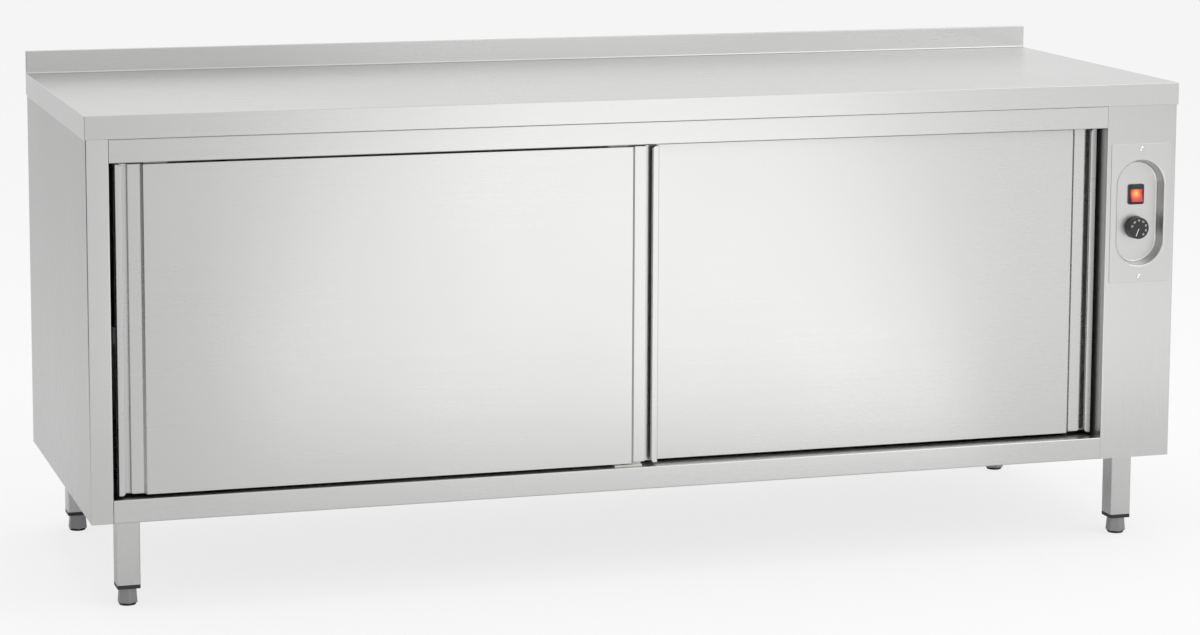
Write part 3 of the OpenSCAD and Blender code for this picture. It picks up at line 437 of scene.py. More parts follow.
def brushed_steel(name, stretch, level=0.57, roughness=0.28, contrast=0.03, spread=0.6, turn=0.0):
    """Steel brushed along one way. Its gloss spreads across the lines: turn is 0.25 for level lines."""
    finish = Finish(name, (level, level, level * 0.99), roughness, metallic=1.0)
    lines = finish.effect(BELT_BRUSHING, Stretch=stretch, Contrast=contrast)
    finish.effect(WIPED_PATCHES, Size=0.4, Amount=0.05)
    finish.bump(lines.outputs["Height"], strength=0.003, distance=0.0001)
    finish.shader.inputs["Anisotropic"].default_value = spread
    finish.shader.inputs["Anisotropic Rotation"].default_value = turn
    return finish.done()


def plain_material(name, colour, roughness, metallic=0.0, grit=0.0008, amount=0.3, bump=0.1, coat=0.0):
    """Finish with a fine grain, as deep as it is wide, and faint wiped patches."""
    finish = Finish(name, colour, roughness, metallic)
    grain = finish.effect(SURFACE_GRIT, Size=grit, Amount=amount)
    finish.effect(WIPED_PATCHES, Size=0.12, Amount=0.12)
    finish.bump(grain.outputs["Height"], strength=bump, distance=grit)
    finish.shader.inputs["Coat Weight"].default_value = coat
    return finish.done()


def galvanised_sheet(name):
    """Zinc with its crystals and a fine grain."""
    finish = Finish(name, (0.55, 0.56, 0.57), 0.42, metallic=0.9)
    finish.effect(ZINC_SPANGLE, Size=0.012, Amount=0.22)
    grain = finish.effect(SURFACE_GRIT, Size=0.001, Amount=0.12)
    finish.bump(grain.outputs["Height"], strength=0.05, distance=0.0005)
    return finish.done()


STEEL_X = brushed_steel("steel_brushed_along_width", ALONG_X, turn=0.25)
STEEL_TOP = brushed_steel("steel_table_top", ALONG_X, spread=0.0)
STEEL_Z = brushed_steel("steel_brushed_upright", ALONG_Z)
STEEL_PLATE = brushed_steel("steel_control_plate", ALONG_Z, contrast=0.04, roughness=0.34, spread=0.2)
POLISHED = brushed_steel("steel_screw_heads", ALONG_X, level=0.7, roughness=0.14, contrast=0.05, spread=0.0)
INNER_STEEL = brushed_steel("steel_inner_sheet", ALONG_X, level=0.5, roughness=0.38, spread=0.0)
GALVANISED = galvanised_sheet("galvanised_sheet")
CHIPBOARD = plain_material("chipboard", (0.5, 0.36, 0.2), 0.85, grit=0.004, amount=0.8, bump=0.4)
MINERAL_WOOL = plain_material("mineral_wool", (0.62, 0.52, 0.3), 0.95, grit=0.006, amount=0.7, bump=0.8)
FILLING = plain_material("door_filling", (0.8, 0.76, 0.62), 0.9, grit=0.003, amount=0.3, bump=0.4)
BLACK_GLOSS = plain_material("black_switch_plastic", (0.012, 0.012, 0.013), 0.28, coat=0.2)
BLACK_SATIN = plain_material("black_knob_plastic", (0.016, 0.016, 0.017), 0.42)
DARK_CAP = plain_material("dark_cap_plastic", (0.02, 0.02, 0.021), 0.5)
GREY_FOOT = plain_material("grey_foot_plastic", (0.3, 0.3, 0.31), 0.35, metallic=0.6)
SOLE_RUBBER = plain_material("sole_rubber", (0.015, 0.015, 0.015), 0.7, grit=0.0006, amount=0.5, bump=0.3)
WHITE_NYLON = plain_material("white_nylon", (0.78, 0.77, 0.73), 0.45)
CERAMIC = plain_material("glazed_ceramic", (0.82, 0.8, 0.75), 0.2, amount=0.1, coat=0.5)
COPPER = plain_material("copper_tube", (0.72, 0.38, 0.22), 0.3, metallic=1.0)
ALUMINIUM = plain_material("fan_aluminium", (0.7, 0.7, 0.71), 0.35, metallic=1.0)
HOT_TUBE = plain_material("heater_tube", (0.16, 0.13, 0.12), 0.5, metallic=0.8, amount=0.6)
DIAL_WHITE = plain_material("dial_print", (0.85, 0.85, 0.84), 0.5, amount=0.1)


def lit_plastic(name):
    """Clear red rocker over its lamp: yellow at the lamp, red round it and dark towards the pressed end."""
    yellow, orange = (1.0, 0.62, 0.08, 1), (0.95, 0.16, 0.03, 1)
    red, dark_red = (0.5, 0.02, 0.015, 1), (0.05, 0.001, 0.001, 1)
    lamp_r, glow_r = 2 * MM, 15 * MM
    finish = Finish(name, (0.42, 0.02, 0.015), 0.22)
    finish.effect(SURFACE_GRIT, Size=0.0008, Amount=0.15)
    nodes = finish.nodes
    away = nodes.add("VectorMath", operation="DISTANCE")
    nodes.join(finish.place, away.inputs[0])
    away.inputs[1].default_value = Vector(LAMP_PLACE) * MM
    glow = nodes.add("ValToRGB")
    nodes.join(nodes.spread(away.outputs["Value"], lamp_r, glow_r, 0.0, 1.0), glow.inputs[0])
    ramp = glow.color_ramp
    ramp.elements[0].color = yellow
    ramp.elements[1].color = dark_red
    ramp.elements.new(0.35).color = orange
    ramp.elements.new(0.6).color = red
    nodes.join(glow.outputs[0], finish.shader.inputs["Emission Color"])
    finish.shader.inputs["Emission Strength"].default_value = 0.9
    finish.shader.inputs["Coat Weight"].default_value = 0.3
    return finish.done()


LIT_RED = lit_plastic("lit_red_plastic")

NODE_FINISHES = {
    STEEL_X: "worktop top_rail floor_pan left_door_skin right_door_skin",
    STEEL_Z: "left_side_panel right_side_panel legs control_plate control_screws",
    INNER_STEEL: "back_liner left_liner service_partition roof_liner upper_track shelf shelf_uprights"
    " shelf_clips knob_shaft left_door_back left_door_hangers right_door_back right_door_hangers",
    GALVANISED: "worktop_stiffeners underside_pan back_panel leg_sockets fan_housing fan_motor",
    CHIPBOARD: "worktop_core",
    MINERAL_WOOL: "insulation_slabs",
    FILLING: "left_door_core right_door_core",
    BLACK_GLOSS: "switch_housing switch_rocker",
    BLACK_SATIN: "knob",
    DARK_CAP: "leg_caps cable_gland",
    GREY_FOOT: "front_left_foot front_right_foot rear_left_foot rear_right_foot",
    SOLE_RUBBER: "front_left_sole front_right_sole rear_left_sole rear_right_sole track_stops",
    WHITE_NYLON: "lower_guide terminal_block left_door_channel right_door_channel left_door_left_roller"
    " left_door_right_roller right_door_left_roller right_door_right_roller",
    CERAMIC: "thermostat",
    COPPER: "thermostat_bulb",
    ALUMINIUM: "fan_rotor",
    HOT_TUBE: "heating_element",
}
for material, names in NODE_FINISHES.items():
    for name in names.split():
        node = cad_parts[name]
        node.data.materials.clear()
        node.data.materials.append(material)

# ---- Sheet metal and other pieces, modelled in millimetres ----

# Limits that take in every place, and how far a point may lie off the place that is asked for
ANY = (-5000, 5000)
SLACK = 0.02
# Faces that meet at less than this angle, in degrees, are shaded as one round surface
SMOOTH_ANGLE = 35
# Turn of a sheet whose outer side faces that way, and the axes that its width and height lie along
FACING = {
    "-x": ((0, -90, 0), (2, 1)),
    "+x": ((0, 90, 0), (2, 1)),
    "-y": ((90, 0, 0), (0, 2)),
}


def leave():
    """Back to object mode with nothing selected."""
    if bpy.context.object and bpy.context.object.mode != "OBJECT":
        bpy.ops.object.mode_set(mode="OBJECT")
    bpy.ops.object.select_all(action="DESELECT")


def work_on(piece):
    """Makes a piece the only selected one."""
    leave()
    piece.select_set(True)
    bpy.context.view_layer.objects.active = piece


def begin(name):
    """Names the piece just made and settles its place and size in its mesh."""
    piece = bpy.context.object
    piece.name = piece.data.name = name
    bpy.ops.object.transform_apply(location=True, rotation=True, scale=True)
    return piece


def add_block(name, low, high):
    """Box between two corners."""
    leave()
    middle = [(a + b) / 2 * MM for a, b in zip(low, high)]
    size = [(b - a) * MM for a, b in zip(low, high)]
    bpy.ops.mesh.primitive_cube_add(size=1, location=middle, scale=size)
    return begin(name)


def add_sheet(name, facing, low, high):
    """Flat sheet between two corners that share one coordinate, with its outer side as given."""
    leave()
    turn, axes = FACING[facing]
    middle = [(a + b) / 2 * MM for a, b in zip(low, high)]
    size = [(high[axis] - low[axis]) * MM for axis in axes]
    bpy.ops.mesh.primitive_plane_add(size=1, location=middle, rotation=[math.radians(a) for a in turn])
    bpy.context.object.scale = (*size, 1)
    return begin(name)


def add_disc(name, place, radius, depth, sides, turn=(90, 0, 0)):
    """Cylinder whose axis is Y, unless it is turned otherwise."""
    leave()
    bpy.ops.mesh.primitive_cylinder_add(
        vertices=sides,
        radius=radius * MM,
        depth=depth * MM,
        location=[a * MM for a in place],
        rotation=[math.radians(a) for a in turn],
    )
    return begin(name)


def span(a, b):
    """Limits of a place, whichever of the two is the lower."""
    return min(a, b), max(a, b)


def within(value, limits):
    low, high = limits if isinstance(limits, tuple) else (limits, limits)
    return low - SLACK <= value <= high + SLACK


def pick(kind, x=ANY, y=ANY, z=ANY, also=False):
    """Selects the faces, edges or vertices that lie wholly within the given places."""
    bpy.ops.object.mode_set(mode="EDIT")
    bpy.ops.mesh.select_mode(type=kind)
    if not also:
        bpy.ops.mesh.select_all(action="DESELECT")
    data = bpy.context.object.data
    mesh = bmesh.from_edit_mesh(data)
    for part in {"FACE": mesh.faces, "EDGE": mesh.edges, "VERT": mesh.verts}[kind]:
        ends = [part] if kind == "VERT" else part.verts
        places = [vertex.co / MM for vertex in ends]
        if all(within(p.x, x) and within(p.y, y) and within(p.z, z) for p in places):
            part.select_set(True)
    mesh.select_flush_mode()
    bmesh.update_edit_mesh(data)


def pick_corners(centre_x, half_w, axis, centre, half_h):
    """Selects the four long edges of a bar, which is measured over x and over the axis y or z."""
    places = [(side_x, side) for side_x in (-1, 1) for side in (-1, 1)]
    for side_x, side in places:
        limits = {"x": centre_x + side_x * half_w, axis: centre + side * half_h}
        pick("EDGE", also=(side_x, side) != places[0], **limits)


def push(x=0, y=0, z=0):
    """Extrudes what is selected by a step."""
    bpy.ops.mesh.extrude_region_move(TRANSFORM_OT_translate={"value": (x * MM, y * MM, z * MM)})


def shift(x=0, y=0, z=0):
    """Moves what is selected by a step."""
    bpy.ops.transform.translate(value=(x * MM, y * MM, z * MM))


def stretch(by_x, by_z, centre_x, centre_z):
    """Scales what is selected over x and z about a place. A factor of 0 lays it on a straight line."""
    centre = (centre_x * MM, 0, centre_z * MM)
    bpy.ops.transform.resize(value=(by_x, 1, by_z), center_override=centre)


def round_off(radius, steps=4, of="EDGES"):
    """Rounds the selected edges or corners."""
    bpy.ops.mesh.bevel(offset=radius * MM, segments=steps, profile=0.5, affect=of, clamp_overlap=True)


def inset(width, depth=0.0):
    """Draws a border inside the selected faces and raises what it encloses by the depth."""
    bpy.ops.mesh.inset(thickness=width * MM, depth=depth * MM)


def turn_about(piece, place, degrees, axis):
    """Turns a piece round an axis through a place."""
    work_on(piece)
    pivot = Vector(place) * MM
    turn = Matrix.Rotation(math.radians(degrees), 4, axis)
    piece.matrix_world = Matrix.Translation(pivot) @ turn @ Matrix.Translation(-pivot)
    bpy.ops.object.transform_apply(location=True, rotation=True, scale=True)


def modify(piece, kind, **settings):
    """Adds a modifier and applies it."""
    work_on(piece)
    modifier = piece.modifiers.new(kind.lower(), kind)
    for key, value in settings.items():
        setattr(modifier, key, value)
    bpy.ops.object.modifier_apply(modifier=modifier.name)


def soften(piece, radius, steps=3, angle=30):
    """Rounds every fold or edge that is sharper than the angle."""
    limit = math.radians(angle)
    modify(piece, "BEVEL", width=radius * MM, segments=steps, limit_method="ANGLE", angle_limit=limit)


def thicken(piece, thickness):
    """Gives a sheet its thickness behind its outer side."""
    modify(piece, "SOLIDIFY", thickness=thickness * MM, offset=-1, use_even_offset=True)


def cut(piece, cutter):
    """Takes a cutter's space out of a piece and removes the cutter."""
    leave()
    modify(piece, "BOOLEAN", object=cutter, operation="DIFFERENCE", solver="EXACT")
    bpy.data.objects.remove(cutter, do_unlink=True)


def copy_of(piece, name, x=0, y=0, z=0):
    """Copy with its own mesh, a step away."""
    work_on(piece)
    bpy.ops.object.duplicate(linked=False)
    shift(x, y, z)
    return begin(name)


def complete(piece, material, body="cabinet", stands_for=()):
    """Smooths the rounded parts, leaves the flats flat, and hands the piece to its body."""
    work_on(piece)
    bpy.ops.object.shade_smooth_by_angle(angle=math.radians(SMOOTH_ANGLE))
    modify(piece, "WEIGHTED_NORMAL", keep_sharp=True)
    piece.data.materials.clear()
    piece.data.materials.append(material)
    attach(piece, body)
    if stands_for:
        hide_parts(*stands_for)


def refinish(piece, material, chosen):
    """Gives a second material to the faces that the test chooses."""
    piece.data.materials.append(material)
    for face in piece.data.polygons:
        if chosen(face):
            face.material_index = 1



def make_worktop():
    """One sheet: folded edge and lip all round, and the hollow upstand along the back."""
    lip_w, cove_r, edge_r = 16, 3, 2
    nearly_up = 0.9
    top = add_block("worktop_sheet", (-HALF_W, -HALF_D, EDGE_Z), (HALF_W, HALF_D, TABLE_Z))
    pick("FACE", z=EDGE_Z)
    inset(lip_w)
    bpy.ops.mesh.delete(type="FACE")
    bpy.ops.mesh.select_all(action="SELECT")
    bpy.ops.mesh.bisect(plane_co=(0, UPSTAND_Y * MM, 0), plane_no=(0, 1, 0))
    pick("FACE", y=(UPSTAND_Y, HALF_D), z=TABLE_Z)
    push(z=UPSTAND_Z - TABLE_Z)
    pick("EDGE", y=UPSTAND_Y, z=TABLE_Z)
    round_off(cove_r, steps=5)
    soften(top, edge_r, steps=4)
    thicken(top, SHEET)
    complete(top, STEEL_X, stands_for=["worktop"])
    refinish(top, STEEL_TOP, lambda face: face.normal.z > nearly_up)


def make_side(name, side, front_w):
    """Side sheet with its folded front, return and flanges. Side is -1 on the left and 1 on the right."""
    return_w = 12
    facing = "-x" if side < 0 else "+x"
    x = side * BODY_X
    wall = add_sheet(name, facing, (x, -BODY_Y, BODY_Z), (x, BODY_Y, EDGE_Z))
    pick("EDGE", x=x, y=-BODY_Y)
    push(x=-side * front_w)
    push(y=return_w)
    pick("EDGE", x=x, y=BODY_Y)
    push(x=-side * FLANGE)
    pick("EDGE", x=x, y=-BODY_Y)
    pick("EDGE", x=x, y=BODY_Y, also=True)
    pick("EDGE", x=x - side * front_w, y=-BODY_Y, also=True)
    round_off(FOLD)
    for z in (BODY_Z, EDGE_Z):
        pick("EDGE", x=x, z=z)
        push(x=-side * FLANGE)
        pick("EDGE", x=x, z=z)
        round_off(FOLD)
    thicken(wall, SHEET)
    return wall


def add_stadium(name, half_w, half_h, y):
    """Upright stadium round the control plate's centre: a circle whose halves are drawn apart."""
    off_middle = 0.5
    leave()
    place = (COLUMN_X * MM, y * MM, PLATE_Z * MM)
    bpy.ops.mesh.primitive_circle_add(
        vertices=96, radius=half_w * MM, fill_type="NGON", location=place, rotation=(math.pi / 2, 0, 0)
    )
    stadium = begin(name)
    for side in (1, -1):
        pick("VERT", z=span(PLATE_Z + side * off_middle, PLATE_Z + side * half_w))
        shift(z=side * (half_h - half_w))
    return stadium


def make_column_window():
    """Cutter for the opening in the column that the control plate's recess goes through."""
    reach = 5
    half_w, half_h = RECESS_HALF_W + WINDOW_GAP, RECESS_HALF_H + WINDOW_GAP
    window = add_stadium("column_window", half_w, half_h, -BODY_Y - reach)
    pick("FACE")
    push(y=2 * reach)
    bpy.ops.mesh.select_all(action="SELECT")
    bpy.ops.mesh.normals_make_consistent(inside=False)
    return window


def make_sides():
    """Left side with the narrow stile, and right side with the control column and its window."""
    left = make_side("left_side_sheet", -1, front_w=BODY_X + OPEN_L)
    complete(left, STEEL_Z, stands_for=["left_side_panel"])
    right = make_side("right_side_sheet", 1, front_w=BODY_X - OPEN_R)
    cut(right, make_column_window())
    complete(right, STEEL_Z, stands_for=["right_side_panel"])


def make_rails():
    """Upper rail with its two flanges, and the lower rail in one sheet with the chamber's floor."""
    upper_flange, lower_flange = 55.5, 6.5
    upper = add_sheet("upper_rail", "-y", (OPEN_L, -BODY_Y, OPEN_T), (OPEN_R, -BODY_Y, EDGE_Z))
    pick("EDGE", z=EDGE_Z)
    push(y=upper_flange)
    pick("EDGE", z=OPEN_T)
    push(y=lower_flange)
    soften(upper, FOLD, steps=4)
    thicken(upper, SHEET)
    complete(upper, STEEL_X, stands_for=["top_rail"])

    floor_front_y = FLANGE - BODY_Y
    lower = add_sheet("lower_rail_and_floor", "-y", (OPEN_L, -BODY_Y, BODY_Z), (OPEN_R, -BODY_Y, OPEN_B))
    pick("EDGE", z=BODY_Z)
    push(y=FLANGE)
    pick("EDGE", z=OPEN_B)
    push(y=FLANGE)
    push(y=FLOOR_BACK_Y - floor_front_y)
    push(z=-FLOOR_HEM)
    for x in (OPEN_L, OPEN_R):
        pick("EDGE", x=x, y=(floor_front_y, BODY_Y), z=OPEN_B)
        push(z=-FLOOR_HEM)
    soften(lower, FOLD, steps=4)
    thicken(lower, SHEET)
    complete(lower, STEEL_X, stands_for=["floor_pan"])


def make_door_fronts():
    """Folded front of a door: raised face, slopes, recessed strips, finger channels and pull lips."""
    grip_w, slope, strip_w, strip_rise = 48, 5, 21, 2.5
    channel_w, channel_depth = 21, 11
    lip_depth, lip_w, lip_corner_r = 15, 9.5, 5
    hem, bend_r, thickness = 5, 1.4, 1
    folds = (
        (-slope, slope),
        (-strip_w, 0),
        (0, channel_depth),
        (-channel_w, 0),
        (0, -lip_depth),
        (lip_w, 0),
    )
    (x0, y, low_z), (x1, _, high_z) = box_mm("left_door_skin")
    (second_x, second_y, _), _ = box_mm("right_door_skin")
    lip_y = y + slope + channel_depth - lip_depth
    front = add_sheet("left_door_front", "-y", (x0 + grip_w, y, low_z), (x1 - grip_w, y, high_z))
    for side, edge_x in ((1, x0), (-1, x1)):
        pick("EDGE", x=edge_x + side * grip_w)
        for dx, dy in folds:
            push(x=side * dx, y=dy)
        strip_x = edge_x + side * (grip_w - slope)
        channel_x = strip_x - side * strip_w
        lip_x = channel_x - side * (channel_w - lip_w)
        pick("VERT", x=lip_x, y=lip_y)
        round_off(lip_corner_r, steps=5, of="VERTICES")
        pick("EDGE", x=span(lip_x - side * lip_corner_r, lip_x), y=lip_y)
        push(y=hem)
        pick("VERT", x=span(channel_x, strip_x), z=low_z)
        shift(z=strip_rise)
    for z in (low_z, high_z):
        pick("EDGE", x=(x0 + grip_w, x1 - grip_w), y=y, z=z)
        push(y=hem)
    soften(front, bend_r)
    thicken(front, thickness)
    second = copy_of(front, "right_door_front", x=second_x - x0, y=second_y - y)
    complete(front, STEEL_X, "left_door", ["left_door_skin"])
    complete(second, STEEL_X, "right_door", ["right_door_skin"])


def make_control_plate():
    """Plate with a pressed recess: the rim's outer loop is drawn out to the plate's straight edges."""
    rim, slope, bend_r = 4, 4.5, 2.6
    corner_r, edge_r = 3, 0.5
    shaft_hole_r, switch_half_w, switch_half_h, reach = 4, 13.5, 17.6, 6
    near = 0.5
    free_y = PLATE_Y - 5
    outer_w, outer_h = RECESS_HALF_W + rim, RECESS_HALF_H + rim
    plate = add_stadium("control_plate_pressing", outer_w, outer_h, PLATE_Y)
    pick("FACE")
    inset(rim)
    inset(slope, PLATE_Y - RECESS_Y)
    soften(plate, bend_r, steps=4)

    # The loop's points at 45 degrees become the plate's corners, while the loop stands free before the face
    bpy.ops.object.mode_set(mode="EDIT")
    bpy.ops.mesh.select_mode(type="EDGE")
    bpy.ops.mesh.select_all(action="DESELECT")
    bpy.ops.mesh.select_non_manifold()
    push(y=free_y - PLATE_Y)
    corner_x = outer_w * math.sqrt(0.5)
    corner_z = outer_h - outer_w + corner_x
    for side in (1, -1):
        end_z = span(PLATE_Z + side * (corner_z - near), PLATE_Z + side * (outer_h + near))
        pick("VERT", x=(COLUMN_X - corner_x - near, COLUMN_X + corner_x + near), y=free_y, z=end_z)
        stretch(PLATE_HALF_W / corner_x, 0, COLUMN_X, PLATE_Z + side * PLATE_HALF_H)
    for side in (1, -1):
        side_x = span(COLUMN_X + side * (corner_x + near), COLUMN_X + side * (outer_w + near))
        pick("VERT", x=side_x, y=free_y, z=(PLATE_Z - corner_z + near, PLATE_Z + corner_z - near))
        stretch(0, PLATE_HALF_H / corner_z, COLUMN_X + side * PLATE_HALF_W, PLATE_Z)
    pick("VERT", y=free_y)
    shift(y=PLATE_Y - free_y)
    bpy.ops.mesh.select_all(action="SELECT")
    bpy.ops.mesh.normals_make_consistent(inside=False)
    bpy.ops.object.mode_set(mode="OBJECT")
    floor = max(plate.data.polygons, key=lambda face: face.center.y)
    if floor.normal.y > 0:
        plate.data.flip_normals()

    thicken(plate, SHEET)
    work_on(plate)
    pick_corners(COLUMN_X, PLATE_HALF_W, "z", PLATE_Z, PLATE_HALF_H)
    round_off(corner_r, steps=5)
    soften(plate, edge_r, angle=50)
    cut(plate, add_disc("shaft_hole", (COLUMN_X, RECESS_Y, KNOB_Z), shaft_hole_r, 2 * reach, sides=32))
    low = (COLUMN_X - switch_half_w, RECESS_Y - reach, SWITCH_Z - switch_half_h)
    high = (COLUMN_X + switch_half_w, RECESS_Y + reach, SWITCH_Z + switch_half_h)
    cut(plate, add_block("switch_hole", low, high))
    complete(plate, STEEL_PLATE, stands_for=["control_plate"])


def make_plate_screws():
    """Domed heads with a cross recess."""
    head_r, flatness = 5, 0.36
    arm_l, arm_w = 2.8, 0.6
    above_y, arm_floor_y = PLATE_Y - 2, PLATE_Y - 0.7
    z = PLATE_Z + SCREW_RISE
    leave()
    place = (COLUMN_X * MM, PLATE_Y * MM, z * MM)
    bpy.ops.mesh.primitive_uv_sphere_add(
        segments=40, ring_count=20, radius=head_r * MM, location=place, rotation=(math.pi / 2, 0, 0)
    )
    bpy.context.object.scale = (1, 1, flatness)
    head = begin("upper_plate_screw")
    pick("FACE")
    bpy.ops.mesh.bisect(plane_co=place, plane_no=(0, 1, 0), clear_outer=True, use_fill=True)
    bpy.ops.object.mode_set(mode="OBJECT")
    for w, h in ((arm_l, arm_w), (arm_w, arm_l)):
        cut(head, add_block("cross", (COLUMN_X - w, above_y, z - h), (COLUMN_X + w, arm_floor_y, z + h)))
    second = copy_of(head, "lower_plate_screw", z=-2 * SCREW_RISE)
    complete(head, POLISHED, stands_for=["control_screws"])
    complete(second, POLISHED, stands_for=["control_screws"])


def make_switch():
    """Bezel with the switch body behind it, and the well for the rocker."""
    half_w, half_h, depth = SWITCH_HALF_W, SWITCH_HALF_H, 3
    corner_r, edge_r = 3.5, 0.9
    body_inset, body_depth = 2.5, 24
    well_half_w, well_depth, above = 11.95, 11, 4
    x, y, z = COLUMN_X, RECESS_Y, SWITCH_Z
    bezel = add_block("switch_bezel", (x - half_w, y - depth, z - half_h), (x + half_w, y, z + half_h))
    pick_corners(x, half_w, "z", z, half_h)
    round_off(corner_r, steps=5)
    pick("FACE", y=y - depth)
    bpy.ops.mesh.region_to_loop()
    round_off(edge_r, steps=3)
    pick("FACE", y=y)
    inset(body_inset)
    push(y=body_depth)
    low = (x - well_half_w, y - above, z - ROCKER_HALF_H)
    high = (x + well_half_w, y + well_depth, z + ROCKER_HALF_H)
    cut(bezel, add_block("rocker_well", low, high))
    complete(bezel, BLACK_GLOSS, stands_for=["switch_housing"])


def make_rocker():
    """Lit rocker with a hollow across it and its upper end painted black as painted shade, tilted as it is
    when pressed at the top.
    """
    half_w, hollow, tilt, edge_r = 11.65, 2.6, -8, 1.3
    x, y, z = COLUMN_X, RECESS_Y + 6, SWITCH_Z
    front_y, back_y, back_draw_in = y - 12.4, y + 3, 5
    # Above this level the rocker is painted black: painted shade on its pressed upper end
    painted_shade_z = z + 8
    low, high = (x - half_w, front_y, z - ROCKER_HALF_H), (x + half_w, back_y, z + ROCKER_HALF_H)
    rocker = add_block("lit_rocker", low, high)
    for level in (z, painted_shade_z):
        pick("FACE")
        bpy.ops.mesh.bisect(plane_co=(0, 0, level * MM), plane_no=(0, 0, 1))
    pick("EDGE", y=front_y, z=z)
    shift(y=hollow)
    for side in (-1, 1):
        pick("VERT", y=back_y, z=z + side * ROCKER_HALF_H)
        shift(z=-side * back_draw_in)
    turn_about(rocker, (x, y, z), tilt, "X")
    soften(rocker, edge_r, steps=4, angle=20)
    complete(rocker, LIT_RED, "mains_switch_rocker", ["switch_rocker"])
    # Faces above the level get black plastic: painted shade where the pressed end lies in shadow
    refinish(rocker, BLACK_GLOSS, lambda face: face.center.z > painted_shade_z * MM)


def make_knob():
    """Skirt, slightly tapered grip, rounded front edge and a shallow dish."""
    skirt_depth, step_w = 3, 0.5
    taper, edge_r = 0.985, 1.5
    rim_w, dish_slope, dish_depth = 1.8, 0.6, 0.4
    x, z = COLUMN_X, KNOB_Z
    skirt_y, front_y = RECESS_Y - 3.3, RECESS_Y - 18
    knob = add_disc("turned_knob", (x, skirt_y + skirt_depth / 2, z), KNOB_R, skirt_depth, sides=96)
    pick("FACE", y=skirt_y)
    inset(step_w)
    push(y=front_y - skirt_y)
    stretch(taper, taper, x, z)
    bpy.ops.mesh.region_to_loop()
    round_off(edge_r, steps=5)
    pick("FACE", y=front_y)
    inset(rim_w)
    inset(dish_slope, -dish_depth)
    complete(knob, BLACK_SATIN, "thermostat_knob", ["knob"])


def make_dial_marks():
    """Numbers round the knob's dish and the pointer line."""
    count, first_number, number_step = 7, 30, 10
    circle_r, first_angle, angle_step = 14.2, -52, 36
    text_size, text_depth = 4.6 * MM, 0.06 * MM
    line_start, line_end, line_half_w, line_angle, edge_r = 1, 15.5, 0.65, 112, 0.05
    x, y, z = COLUMN_X, RECESS_Y - 17.62, KNOB_Z
    line_front_y, line_back_y = y - 0.12, y + 0.1
    marks = []
    for step in range(count):
        angle = math.radians(first_angle + angle_step * step)
        turn = (math.pi / 2, math.pi / 2 - angle, 0)
        place = (x + circle_r * math.cos(angle), y, z + circle_r * math.sin(angle))
        leave()
        bpy.ops.object.text_add(location=[a * MM for a in place], rotation=turn)
        number = bpy.context.object
        text = str(first_number + number_step * step)
        number.data.body = text
        number.data.size = text_size
        number.data.extrude = text_depth
        number.data.align_x = number.data.align_y = "CENTER"
        bpy.ops.object.convert(target="MESH")
        marks.append(begin(f"scale_number_{text}"))
    low = (x + line_start, line_front_y, z - line_half_w)
    high = (x + line_end, line_back_y, z + line_half_w)
    line = add_block("pointer_line", low, high)
    turn_about(line, (x, y, z), line_angle, "Y")
    soften(line, edge_r, steps=2)
    for mark in [*marks, line]:
        complete(mark, DIAL_WHITE, "thermostat_knob")


def make_legs():
    """Square tubes with rounded corners, and the caps in their ends."""
    half, corner_r, cap_edge_r, wall = LEG_HALF, 3, 0.9, 1.5
    x, y = LEGS["front_left"]
    tube = add_block("front_left_tube", (x - half, y - half, LEG_Z), (x + half, y + half, LEG_TOP))
    cap = add_block("front_left_cap", (x - half, y - half, CAP_Z), (x + half, y + half, LEG_Z))
    for piece in (tube, cap):
        work_on(piece)
        pick_corners(x, half, "y", y, half)
        round_off(corner_r, steps=5)
    work_on(tube)
    pick("FACE", z=LEG_Z)
    pick("FACE", z=LEG_TOP, also=True)
    bpy.ops.mesh.delete(type="FACE")
    thicken(tube, wall)
    soften(cap, cap_edge_r, angle=50)
    kinds = (
        (tube, "tube", STEEL_Z, "brushed_steel", "legs"),
        (cap, "cap", DARK_CAP, "dark_plastic", "leg_caps"),
    )
    for spot, (spot_x, spot_y) in LEGS.items():
        if spot != "front_left":
            for first, ending, finish, slot, node in kinds:
                piece = copy_of(first, f"{spot}_{ending}", spot_x - x, spot_y - y)
                complete(piece, finish, stands_for=[node])
    for first, ending, finish, slot, node in kinds:
        complete(first, finish, stands_for=[node])


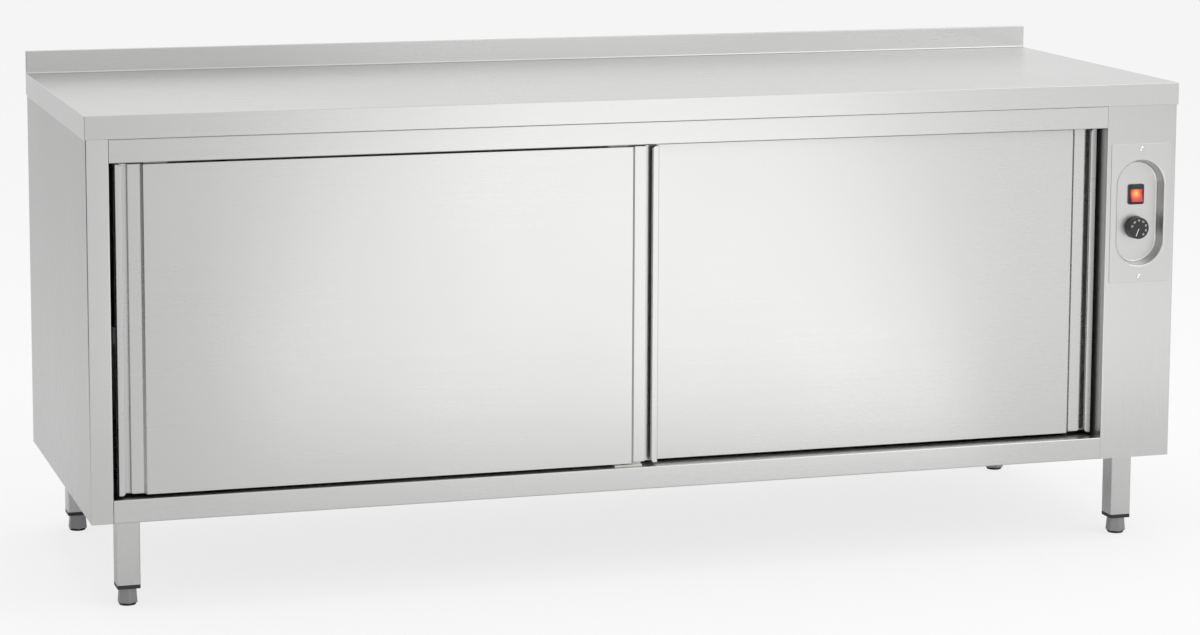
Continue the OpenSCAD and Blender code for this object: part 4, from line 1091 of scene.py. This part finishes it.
def make_feet():
    """Tapered hexagons to turn by hand, on threaded stems."""
    across_flats, low_z, taper, edge_r = 32, 4, 0.875, 1.1
    stem_r, stem_low_z, stem_top_z, stem_edge_r = 5, 29.5, 98.5, 0.6
    upright = (0, 0, 0)
    x, y = LEGS["front_left"]
    radius, middle_z = across_flats / math.sqrt(3), (low_z + CAP_Z) / 2
    foot = add_disc("front_left_hexagon", (x, y, middle_z), radius, CAP_Z - low_z, sides=6, turn=upright)
    pick("FACE", z=CAP_Z)
    bpy.ops.transform.resize(value=(taper, taper, 1), center_override=(x * MM, y * MM, CAP_Z * MM))
    soften(foot, edge_r)
    middle_z, depth = (stem_low_z + stem_top_z) / 2, stem_top_z - stem_low_z
    stem = add_disc("stem", (x, y, middle_z), stem_r, depth, sides=24, turn=upright)
    soften(stem, stem_edge_r, steps=2, angle=50)
    work_on(foot)
    stem.select_set(True)
    bpy.ops.object.join()
    for spot, (spot_x, spot_y) in LEGS.items():
        if spot != "front_left":
            piece = copy_of(foot, f"{spot}_hexagon", spot_x - x, spot_y - y)
            complete(piece, GREY_FOOT, f"{spot}_levelling_foot", [f"{spot}_foot"])
    complete(foot, GREY_FOOT, "front_left_levelling_foot", ["front_left_foot"])


def make_back_rivets():
    """Flat heads of the rivets that hold the back panel to the side sheets' flanges."""
    head_r, head_h, edge_r = 3.2, 1.2, 0.8
    rivet_x, low_z, pitch, rows = BODY_X - FLANGE / 2, 200, 143, 5
    rivet = add_disc("left_back_rivet_1", (-rivet_x, BODY_Y + head_h / 2, low_z), head_r, head_h, sides=24)
    pick("FACE", y=BODY_Y + head_h)
    bpy.ops.mesh.region_to_loop()
    round_off(edge_r, steps=3)
    rivets = [rivet]
    for row in range(1, rows):
        rivets.append(copy_of(rivet, f"left_back_rivet_{row + 1}", z=row * pitch))
    for row in range(rows):
        rivets.append(copy_of(rivet, f"right_back_rivet_{row + 1}", x=2 * rivet_x, z=row * pitch))
    for piece in rivets:
        complete(piece, POLISHED)


for make in (
    make_worktop,
    make_sides,
    make_rails,
    make_back_rivets,
    make_door_fronts,
    make_control_plate,
    make_plate_screws,
    make_switch,
    make_rocker,
    make_knob,
    make_dial_marks,
    make_legs,
    make_feet,
):
    make()
